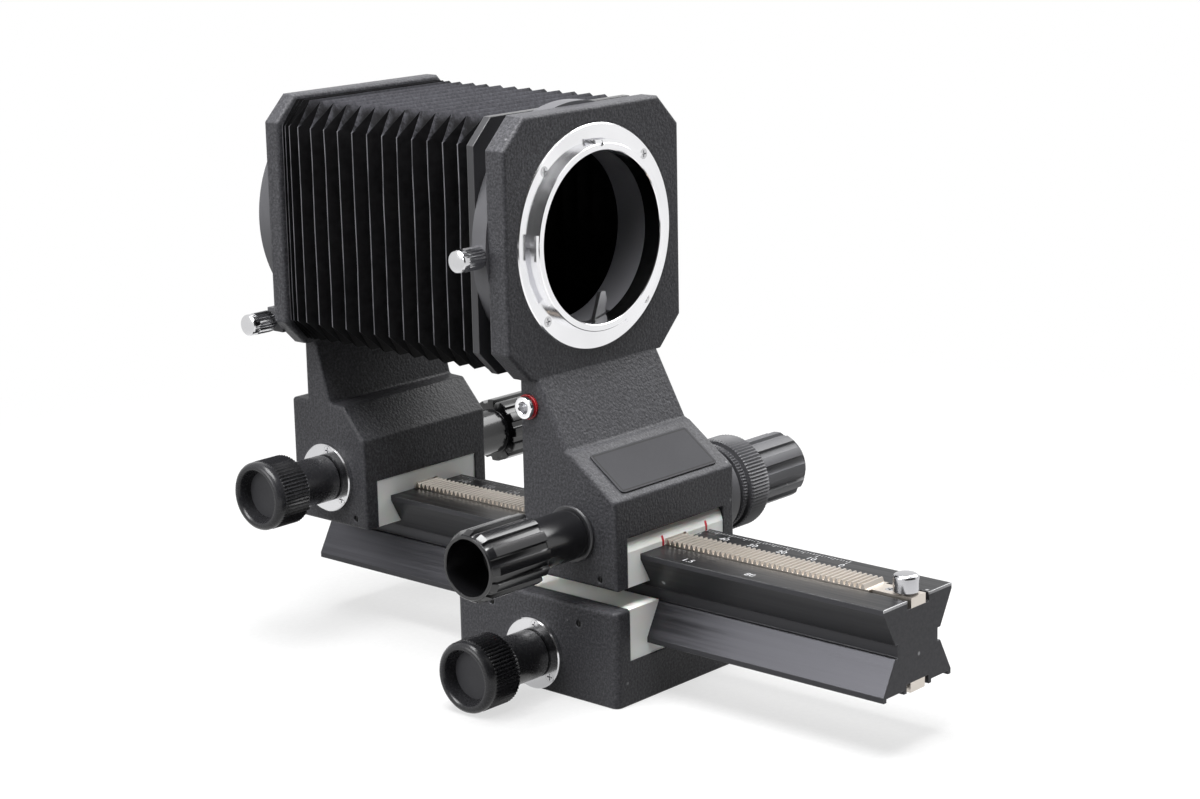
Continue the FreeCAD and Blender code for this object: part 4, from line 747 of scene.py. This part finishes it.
def makeTurnedTree():  # a profile carried round its axis, with ribs or flutes cut in
    tree, given, endTree = growingTree("turnedKnob", {
        "Profile": "Geometry", "Ribs": 12, "Points Per Rib": 12, "Rib Depth": 0.001, "Fluted": False,
        "Centre": (0, 0, 0), "Side": 1.0, "Start Angle": 0.0})
    profile = given("Profile")
    rings = outOf(tree, "GeometryNodeAttributeDomainSize", word="Point Count", Geometry=profile)
    around = given("Ribs") * given("Points Per Rib")
    grid, column, row = gridPlaces(tree, around + 1.0, rings)
    sample = outOf(tree, "GeometryNodeSampleIndex", {"data_type": "FLOAT_VECTOR", "domain": "POINT"},
                   Geometry=profile, Value=outOf(tree, "GeometryNodeInputPosition"), Index=row)
    outward, ribShare, radius = parts(sample)
    phase = calc("FRACT", column / given("Points Per Rib") + 0.0001)
    wave = 1.0 - abs(phase * 2.0 - 1.0)
    cut = outOf(tree, "GeometryNodeSwitch", {"input_type": "FLOAT"},
                **{"Switch": given("Fluted"), "False": wave, "True": fluteDepth(tree, phase)})
    radius = radius - cut * given("Rib Depth") * ribShare
    angle = column / around * (2 * math.pi) + given("Start Angle")
    place = combine(tree, X=outward * given("Side"), Y=radius * calc("COSINE", angle),
                    Z=radius * calc("SINE", angle))
    moved = movePoints(grid, calcVector("ADD", place, given("Centre")))
    endTree(shadeByAngle(mergePoints(moved), 28))
    return tree


profiles = {                  # (outward, share of the rib depth, radius), in mm
    "lockKnob": [
        (0, 0, 0), (0, 0, 3.6), (0.4, 0, 4.0), (4.7, 0, 4.0), (4.7, 0, 6.5), (5.1, 0, 6.9), (17.9, 0, 6.9),
        (18.5, 0, 7.1), (18.9, 0, 7.7), (18.9, 0, 8.7), (19.2, 0, 9.2), (19.2, 0, 9.5), (19.7, 1, 10.1),
        (28.4, 1, 10.1), (28.6, 0, 9.75), (28.8, 0, 9.75), (29.1, 0, 9.98), (30.1, 0, 10.0), (30.8, 0, 9.7),
        (31.25, 0, 9.25), (31.42, 0, 8.95), (31.5, 0, 8.6), (31.5, 0, 8.3), (31.42, 0, 8.0), (31.1, 0, 7.7),
        (30.6, 0, 7.55), (27.6, 0, 6.75), (26.92, 0, 6.7), (26.92, 0, 0)],
    "driveKnob": [
        (0, 0, 0), (0, 0, 6.5), (0.4, 0, 6.9), (16.9, 0, 6.9), (17.4, 0, 7.0), (17.6, 0, 7.4), (17.6, 0, 8.7),
        (17.7, 1, 9.6), (18.0, 1, 9.85), (37.3, 1, 9.85), (38.9, 0.75, 8.95), (39.05, 0, 8.75),
        (39.4, 0, 8.7), (39.6, 0, 8.5), (39.6, 0, 7.9), (39.4, 0, 7.7), (25.7, 0, 7.7), (25.6, 0, 7.4),
        (25.6, 0, 0)],
    "rightKnob": [
        (0, 0, 0), (0, 0, 8.4), (0.4, 0, 8.6), (0.5, 0.4, 9.0), (1.2, 1, 9.85), (20.2, 1, 9.85),
        (21.6, 0.35, 8.95), (21.7, 0, 8.75), (22.0, 0, 8.6), (22.2, 0, 8.4), (22.2, 0, 8.0), (22.0, 0, 7.8),
        (8.3, 0, 7.8), (8.2, 0, 7.5), (8.2, 0, 0)],
    "lockRing": [
        (0.2, 0, 8.4), (0, 0, 8.8), (0, 0, 11.9), (0.25, 1, 12.5), (1.5, 1, 12.5), (1.7, 0, 11.7),
        (2.5, 0, 11.7), (2.7, 0.3, 13.0), (3.1, 1, 13.5), (9.9, 1, 13.5), (10.7, 0.6, 13.15), (11.4, 0, 12.3),
        (11.4, 0, 9.0), (11.2, 0, 8.4), (0.2, 0, 8.4)],
}


def screwKnob(reach):
    return [(0, 0, 0), (0, 0, 1.3), (0.2, 0, 1.5), (reach - 9.0, 0, 1.5), (reach - 9.0, 0, 2.5),
            (reach - 8.6, 0, 2.9), (reach - 8.4, 0.6, 3.1), (reach - 8.0, 1, 3.2), (reach - 2.6, 1, 3.2),
            (reach - 2.2, 0, 3.12), (reach - 0.5, 0, 3.12), (reach - 0.12, 0, 2.9), (reach, 0, 2.6),
            (reach, 0, 0)]


def domedPost():
    low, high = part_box("stop_post")
    tall = (high.z - low.z) / mm
    dome = []
    for step in range(0, 91, 10):
        angle = math.radians(step)
        dome.append((tall - 1.1 * (1 - math.sin(angle)), 0, 3.4 - 1.6 * (1 - math.cos(angle))))
    return [(0, 0, 0), (0, 0, 1.7), (tall - 4.8, 0, 1.7), (tall - 4.8, 0, 3.3), (tall - 4.7, 0, 3.4), *dome,
            (tall, 0, 0)]


def openSocket():
    low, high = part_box("release_socket")
    reach = (high.x - low.x) / mm
    return [(0, 0, 1.55), (0, 0, 2.4), (reach - 1.3, 0, 2.4), (reach - 1.3, 0, 3.0), (reach - 1.2, 0, 3.1),
            (reach - 0.5, 0, 3.1), (reach - 0.2, 0, 3.0), (reach - 0.05, 0, 2.8), (reach, 0, 2.5),
            (reach, 0, 2.1), (reach - 0.1, 0, 1.8), (reach - 0.35, 0, 1.6), (reach - 0.7, 0, 1.55),
            (0, 0, 1.55)]


ribStart = 0.2                # radians, where the first rib begins
fluted = {"ribs": 12, "points": 16, "depth": 1.05, "fluted": True}      # depth in mm, points to each rib
knurled = {"ribs": 60, "points": 4, "depth": 0.55}
fineKnurled = {"ribs": 22, "points": 4, "depth": 0.34}
smoothTurned = {"ribs": 24, "points": 3, "depth": 0.0}
lockKnob = {**knurled, "side": -1, "profile": profiles["lockKnob"], "finish": "knobSatin"}
driveKnob = {**fluted, "profile": profiles["driveKnob"], "finish": "knobGloss"}
lockScrew = {**fineKnurled, "side": -1, "finish": "satinChrome"}

turnedPieces = {
    "carriageLockKnob": {**lockKnob, "node": "carriage_lock_knob", "body": "carriage_lock"},
    "rearLockKnob": {**lockKnob, "node": "rear_lock_knob", "body": "rear_lock"},
    "carriageDriveKnob": {**driveKnob, "node": "carriage_drive_knob", "body": "carriage_drive", "side": 1},
    "frontDriveKnobLeft": {**driveKnob, "node": "front_knob_left", "body": "front_drive", "side": -1},
    "frontDriveKnobRight": {**fluted, "node": "front_knob_right", "body": "front_drive", "side": 1,
                            "profile": profiles["rightKnob"], "finish": "knobMatt"},
    "rearDriveKnob": {**driveKnob, "node": "rear_drive_knob", "body": "rear_drive", "side": 1},
    "frontLockRing": {"ribs": 84, "points": 4, "depth": 0.42, "node": "front_lock_ring", "body": "front_lock",
                      "side": 1, "profile": profiles["lockRing"], "finish": "knobMatt"},
    "bellowsLockScrew": {**lockScrew, "node": "bellows_lock_screw", "body": "bellows_lock",
                         "profile": screwKnob(13.2)},
    "ringLockScrew": {**lockScrew, "node": "ring_lock_screw", "body": "ring_lock",
                      "profile": screwKnob(15.0)},
    "stopPost": {**smoothTurned, "node": "stop_post", "body": "rail", "side": 1, "upright": True,
                 "profile": domedPost(), "finish": "postChrome"},
    "releaseSocket": {**smoothTurned, "node": "release_socket", "body": "front_standard", "side": -1,
                      "profile": openSocket(), "finish": "ringChrome"},
}


def makeTurnedPieces():
    tree = makeTurnedTree()
    for name, facts in turnedPieces.items():
        low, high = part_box(facts["node"])
        middle = (low + high) / 2
        start = low.x if facts["side"] > 0 else high.x
        upright = facts.get("upright", False)
        points = [(outward * mm, ribShare, radius * mm) for outward, ribShare, radius in facts["profile"]]
        made = grow(name, tree, {
            "Ribs": facts["ribs"], "Points Per Rib": facts["points"], "Rib Depth": facts["depth"] * mm,
            "Fluted": facts.get("fluted", False), "Side": float(facts["side"]), "Start Angle": ribStart,
            "Centre": (0, 0, 0) if upright else (start, middle.y, middle.z),
            "Finish": finishes[facts["finish"]]}, points)
        if upright:
            foot = Matrix.Translation((middle.x, middle.y, low.z))
            made.transform(foot @ Matrix.Rotation(math.radians(-90), 4, "Y"))
        piece = addPiece(name, finishMesh(made), facts["body"])
        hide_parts(facts["node"])
    print("turned pieces built:", len(turnedPieces))


bellows = {
    "ridges": [17.2, 22.8, 28.7, 34.6, 40.5, 46.4, 52.3, 58.2, 63.9, 69.5, 75.0,     # mm along Y
               80.3, 84.0, 85.7, 86.9],
    "front": 13.45,
    "back": 87.65,
    "middle": 61.05,          # the folds are split here: those before it on the front standard's side, those after it on the rear one's
    "axisHeight": 122.84,
    "ridgeHalf": 34.95,
    "valleyHalf": 28.9,
    "ridgeChamfer": 6.8,
    "valleyChamfer": 1.1,
    "wall": 0.45,
    "rings": 13,              # points from one valley to the next
    "perSide": 6,             # points along each side and each cut corner
    "crestRound": 0.035,      # how blunt a crest is, as a share of its slope
    "sway": 0.9,              # mm, how far a slope may lean off its even curve
    "swayScale": 55.0,
    "edgeShare": 0.66,        # how much of its even share the first span counts for in foldShares
}


def storeAttribute(geometry, name, kind, domain, value):
    return outOf(geometry.tree, "GeometryNodeStoreNamedAttribute", {"data_type": kind, "domain": domain},
                 Geometry=geometry, Name=name, Value=value)


def splitCreases(geometry, way):  # splits each face along the crease that crosses it
    tree = geometry.tree
    way = outOf(tree, "GeometryNodeFieldOnDomain", {"data_type": "FLOAT", "domain": "POINT"}, Value=way)
    geometry = storeAttribute(geometry, "splitWay", "FLOAT", "FACE", way)
    for method, test in (("FIXED", "LESS_THAN"), ("FIXED_ALTERNATE", "GREATER_THAN")):
        kept = outOf(tree, "GeometryNodeInputNamedAttribute", {"data_type": "FLOAT"}, Name="splitWay")
        geometry = outOf(tree, "GeometryNodeTriangulate", {"quad_method": method}, Mesh=geometry,
                         Selection=calc(test, kept, 0.0))
    return geometry


def makeFoldTree():  # one pleat: sides with a ridge in the middle, top and underside half a pleat out of step
    tree, given, endTree = growingTree("bellowsFold", {
        "Geometry": "Geometry", "Front": 0.0, "Ridge": 0.003, "Back": 0.006, "Ridge Half": 0.035,
        "Valley Half": 0.029, "Ridge Chamfer": 0.0068, "Valley Chamfer": 0.001, "Wall": 0.0005, "Rings": 13,
        "Per Side": 6, "Axis Height": 0.12})
    rings, perSide, ridge = given("Rings"), given("Per Side"), given("Ridge")
    loop = rings * 2.0                                  # out over the outer face and back along the inner one
    grid, column, row = gridPlaces(tree, perSide * 8.0 + 1.0, loop + 1.0)
    row = row % loop
    inner = calc("GREATER_THAN", row, rings - 0.5)
    step = row * (1.0 - inner) + (loop - 1.0 - row) * inner
    even = step * 2.0 / (rings - 1.0) - 1.0             # -1 and 1 at the valleys, 0 on the ridge
    away = abs(even) ** 2.0
    signed = away * calc("SIGN", even)
    blunt = bellows["crestRound"]
    dull = calc("SQRT", away * away + blunt * blunt) - blunt
    rise = 1.0 - dull / (math.sqrt(1 + blunt * blunt) - blunt)
    fall = 1.0 - rise
    toFront = larger(signed * -1.0, 0.0) * (given("Front") - ridge)
    toBack = larger(signed, 0.0) * (given("Back") - ridge)
    y = ridge + (toFront + toBack)
    lap = column / perSide                              # 0..8: cut corner, top, cut corner, side, and again
    turn = lap % 4.0
    over = smaller(turn, 3.0 - turn)
    over = calc("MULTIPLY", over, 1.0, clamp=True) ** 2.0    # 0 on a side, 1 on the top and underside
    ridgeHalf = given("Ridge Half") - inner * given("Wall")
    valleyHalf = given("Valley Half") - inner * given("Wall")
    ridgeShort = ridgeHalf - given("Ridge Chamfer")
    valleyShort = valleyHalf - given("Valley Chamfer")
    sideRidge = 1.0 - larger(fall, over)
    sideValley = larger(fall - over, 0.0)
    topValley = larger(over - fall, 0.0)
    topRidge = smaller(fall, over)                      # the top's ridges stand between the sides' ridges
    across = ((ridgeHalf * sideRidge + valleyHalf * sideValley)
              + (valleyShort * topValley + ridgeShort * topRidge))
    upward = ((ridgeShort * sideRidge + valleyShort * sideValley)
              + (valleyHalf * topValley + ridgeHalf * topRidge))
    acrossSign, upSign = (larger(smaller(abs(lap - centre) * 2.0 - 4.0, 1.0), -1.0) for centre in (3.5, 5.5))
    spot = combine(tree, X=across * acrossSign, Y=y, Z=upward * upSign + given("Axis Height"))
    ripple = noise(spot, bellows["swayScale"], 2.0) - 0.5
    sway = ripple * (rise * (1.0 - away) * (bellows["sway"] * mm))
    moved = movePoints(grid, calcVector("ADD", spot, combine(tree, Y=sway)))
    # the crest mask, which the leather uses for its painted ridge highlight and painted top light
    crest = (1.0 - abs(fall - over)) * spread(over, 0.0, 1.0, 1.0, 0.972)
    marked = storeAttribute(moved, "ridgeLine", "FLOAT", "POINT", crest * (1.0 - inner))
    rest = outOf(tree, "GeometryNodeInputPosition")
    marked = storeAttribute(marked, "restPlace", "FLOAT_VECTOR", "POINT", rest)
    split = splitCreases(marked, (turn - 1.5) * even)
    endTree(shadeByAngle(mergePoints(split), 24))
    return tree


def softStepPlace(share):  # where a soft step from 0 to 1 reaches this share
    return 0.5 - math.sin(math.asin(1 - 2 * share) / 3)


def foldShares(edges):  # each fold edge's share of the way from the middle to its standard: 0 at the middle, 1 at the standard
    spans = [abs(b - a) for a, b in zip(edges, edges[1:])]
    spans[0] *= bellows["edgeShare"]
    run = 0.0
    shares = [0.0]
    for span in spans:
        run += span
        shares.append(run / sum(spans))
    shares[-1] = 1.0
    return shares


def makeBellows():
    tree = makeFoldTree()
    ridges = bellows["ridges"]
    valleys = [bellows["front"]] + [(a + b) / 2 for a, b in zip(ridges, ridges[1:])] + [bellows["back"]]
    middle = min(range(len(valleys)), key=lambda k: abs(valleys[k] - bellows["middle"]))
    frontFollow = foldShares(valleys[middle::-1])       # from the middle forward
    backFollow = foldShares(valleys[middle:])
    sizes = {word: bellows[key] * mm for word, key in (
        ("Ridge Half", "ridgeHalf"), ("Valley Half", "valleyHalf"), ("Ridge Chamfer", "ridgeChamfer"),
        ("Valley Chamfer", "valleyChamfer"), ("Wall", "wall"), ("Axis Height", "axisHeight"))}
    for k, ridge in enumerate(ridges):
        name = "bellowsFold%02d" % (k + 1)
        made = grow(name, tree, {
            **sizes, "Front": valleys[k] * mm, "Ridge": ridge * mm, "Back": valleys[k + 1] * mm,
            "Rings": bellows["rings"], "Per Side": bellows["perSide"], "Finish": finishes["bellowsLeather"]})
        piece = addPiece(name, finishMesh(made))
        if k < middle:
            standard, near, far = "front_standard", k + 1, k       # near is the edge on the rail's side
            nearShare, farShare = frontFollow[middle - near], frontFollow[middle - far]
        else:
            standard, near, far = "rear_standard", k, k + 1
            nearShare, farShare = backFollow[near - middle], backFollow[far - middle]
        a, b = softStepPlace(nearShare), softStepPlace(farShare)
        length = (valleys[far] - valleys[near]) / (b - a)
        first = valleys[near] - a * length
        first * mm
        bellows["axisHeight"] * mm
        (first + length) * mm
        bellows["axisHeight"] * mm
        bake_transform(piece)
        if k == 0:
            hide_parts("bellows")
    print("bellows built:", len(ridges), "folds")


railScale = {
    "zero": -77.0,            # mm along Y of the mark 0, the marks run back from there
    "count": 161,
    "step": 1.0,
    "edge": 13.9,             # mm, outer end of every mark
    "short": 1.0,
    "middle": 1.8,
    "long": 2.7,
    "wide": 0.18,
    "thick": 0.03,
    "top": 40.6,
    "numberHeight": 2.3,
    "numberX": 9.6,
    "ratioX": -11.9,
    "ratios": [(-42.0, "1.5"), (-63.0, "80"), (-24.0, "1.8")],
}


def makeMarkTree():
    tree, given, endTree = growingTree("railMarks", {
        "Geometry": "Geometry", "First": (0, 0, 0), "Step": 0.001, "Count": 100, "Short": 0.001,
        "Middle": 0.002, "Long": 0.003, "Wide": 0.0002, "Thick": 0.00003})
    line = outOf(tree, "GeometryNodeMeshLine", Count=given("Count"), Start_Location=given("First"),
                 Offset=combine(tree, Y=given("Step")))
    index = outOf(tree, "GeometryNodeInputIndex")
    atTen = calc("LESS_THAN", index % 10.0, 0.5)
    atFive = calc("LESS_THAN", index % 5.0, 0.5)
    length = spread(atFive, 0.0, 1.0, given("Short"), given("Middle"))
    length = spread(atTen, 0.0, 1.0, length, given("Long"))
    block = outOf(tree, "GeometryNodeMeshCube", word="Mesh", Size=(1, 1, 1))
    block = outOf(tree, "GeometryNodeTransform", Geometry=block, Translation=(-0.5, 0, 0.5))
    endTree(outOf(tree, "GeometryNodeInstanceOnPoints", Points=line, Instance=block,
                  Scale=combine(tree, X=length, Y=given("Wide"), Z=given("Thick"))))
    return tree


def textMesh(words, height):
    data = bpy.data.curves.new("figure", "FONT")
    data.body = words
    data.size = height * 1.38                           # a figure is 0.72 of its font's size
    data.align_x = "CENTER"
    data.align_y = "CENTER"
    data.extrude = 0.5 * railScale["thick"] * mm
    data.resolution_u = 3
    holder = bpy.data.objects.new("figure", data)
    bpy.context.scene.collection.objects.link(holder)
    bpy.context.view_layer.update()
    return plainMesh(holder)


def makeRailScale():
    lengths = ("step", "short", "middle", "long", "wide", "thick")
    values = {word.title(): railScale[word] * mm for word in lengths}
    values["First"] = tuple(railScale[word] * mm for word in ("edge", "zero", "top"))
    values["Count"] = railScale["count"]
    values["Finish"] = finishes["markPaint"]
    ticks = grow("railMarks", makeMarkTree(), values)
    addPiece("railMarks", finishMesh(ticks), "rail")
    turn = Matrix.Rotation(math.radians(-90), 4, "Z")
    joined = bmesh.new()
    rows = [(railScale["numberX"], railScale["zero"] + 10 * n, str(10 * n)) for n in range(17)]
    rows += [(railScale["ratioX"], y, words) for y, words in railScale["ratios"]]
    z = railScale["top"] + railScale["thick"] / 2
    for x, y, words in rows:
        made = textMesh(words, railScale["numberHeight"] * mm)
        made.transform(Matrix.Translation((x * mm, y * mm, z * mm)) @ turn)
        joined.from_mesh(made)
        bpy.data.meshes.remove(made)
    bmesh.ops.remove_doubles(joined, verts=joined.verts, dist=1e-7)
    bmesh.ops.recalc_face_normals(joined, faces=joined.faces)
    numbers = bpy.data.meshes.new("railNumbers")
    joined.to_mesh(numbers)
    joined.free()
    numbers.materials.clear()
    numbers.materials.append(finishes["markPaint"])
    addPiece("railNumbers", numbers, "rail")
    print("rail scale built")


studio = {
    "ambient": 0.07,          # how bright the air round the object is
    "floorSize": 4.0,
    "floorBelow": 0.2,        # mm, so that nothing on the table shares its plane
    "floorTone": 0.20,
    "floorGlow": 0.66,        # lifts the floor to white away from the shadow
    "fadeFrom": 0.20,         # m from the middle, where the floor turns to plain white
    "fadeTo": 0.42,
    "lampAim": (0, 0, 0.08),
    "lamps": {                # place, size and power
        "overheadLamp": ((-0.10, -0.02, 0.60), (0.45, 0.45), 10.0),
        "sideLamp": ((-0.95, 0.30, 0.45), (0.6, 0.6), 7.2),
        "rightLamp": ((0.85, -0.14, 0.80), (0.7, 0.8), 10.0),
    },
    "cards": {                # corners of the dark cards, which show only in glossy surfaces
        "standingCard": [(-2.4, -1.15, 0), (0.95, -1.35, 0), (0.95, -1.35, 1.7), (-2.4, -1.15, 1.7)],
        "lyingCard": [(-0.20, -0.46, 0.001), (-0.52, -0.17, 0.001), (-1.02, -0.62, 0.001),
                      (-0.72, -0.98, 0.001)],
    },
    "cardTone": (0.01, 0.01, 0.01, 1),
}


def seenRays(tree):  # 1 for what the camera sees, straight, in gloss or through glass
    rays = addNode(tree, "ShaderNodeLightPath")
    throughGlass = NodeValue(rays, "Is Transmission Ray")
    return larger(NodeValue(rays, "Is Camera Ray"), larger(NodeValue(rays, "Is Glossy Ray"), throughGlass))


def addSheet(name, corners, material):  # one flat face that isn't part of the object
    mesh = bpy.data.meshes.new(name)
    mesh.from_pydata(corners, [], [(0, 1, 2, 3)])
    mesh.materials.append(material)
    sheet = bpy.data.objects.new(name, mesh)
    bpy.context.scene.collection.objects.link(sheet)
    return sheet


def makeFloor():
    material = bpy.data.materials.new("studioFloor")
    material.use_nodes = True
    tree = material.node_tree
    tree.nodes.clear()
    end = addNode(tree, "ShaderNodeOutputMaterial")
    seen = seenRays(tree)
    place = objectPlace(tree)
    away = spread(calcVector("LENGTH", place), studio["fadeFrom"], studio["fadeTo"], smooth=True)
    paper = noise(place, 700.0, 2.0)
    tone = spread(paper, *noiseSpan, studio["floorTone"] - 0.01, studio["floorTone"] + 0.01)
    grey = outOf(tree, "ShaderNodeCombineColor", Red=tone, Green=tone, Blue=tone)
    matt = outOf(tree, "ShaderNodeBsdfDiffuse", Color=grey)
    glow = outOf(tree, "ShaderNodeEmission", Color=(1, 1, 1, 1), Strength=seen * studio["floorGlow"])
    white = outOf(tree, "ShaderNodeEmission", Color=(1, 1, 1, 1), Strength=1.0)
    near = inOrder(tree, "ShaderNodeAddShader", None, matt, glow)
    feed(end.inputs["Surface"], inOrder(tree, "ShaderNodeMixShader", None, away * seen, near, white))
    half = studio["floorSize"] / 2
    below = -studio["floorBelow"] * mm
    corners = [(x * half, y * half, below) for x, y in ((-1, -1), (1, -1), (1, 1), (-1, 1))]
    addSheet("studioFloor", corners, material)


def makeAir():
    world = bpy.data.worlds.new("studioAir")
    bpy.context.scene.world = world
    world.use_nodes = True
    back = world.node_tree.nodes["Background"]
    feed(back.inputs["Color"], (1, 1, 1, 1))
    feed(back.inputs["Strength"], spread(seenRays(world.node_tree), 0.0, 1.0, studio["ambient"], 1.0))


def addLamp(name, place, size, power):
    data = bpy.data.lights.new(name, "AREA")
    data.shape = "RECTANGLE"
    data.size, data.size_y = size
    data.energy = power
    lamp = bpy.data.objects.new(name, data)
    bpy.context.scene.collection.objects.link(lamp)
    lamp.location = place
    lamp.rotation_mode = "QUATERNION"
    lamp.rotation_quaternion = (Vector(studio["lampAim"]) - Vector(place)).to_track_quat("-Z", "Y")


def makeStudio():
    placeCamera()
    makeFloor()
    makeAir()
    for name, facts in studio["lamps"].items():
        addLamp(name, *facts)
    dark = bpy.data.materials.new("darkCard")
    dark.use_nodes = True
    feed(dark.node_tree.nodes["Principled BSDF"].inputs["Base Color"], studio["cardTone"])
    for name, corners in studio["cards"].items():
        addSheet(name, corners, dark).visible_camera = False
    bpy.context.scene.view_settings.view_transform = "Standard"
    print("camera, floor and lamps placed")


makeStudio()
makeTurnedPieces()
makeBellows()
makeRailScale()
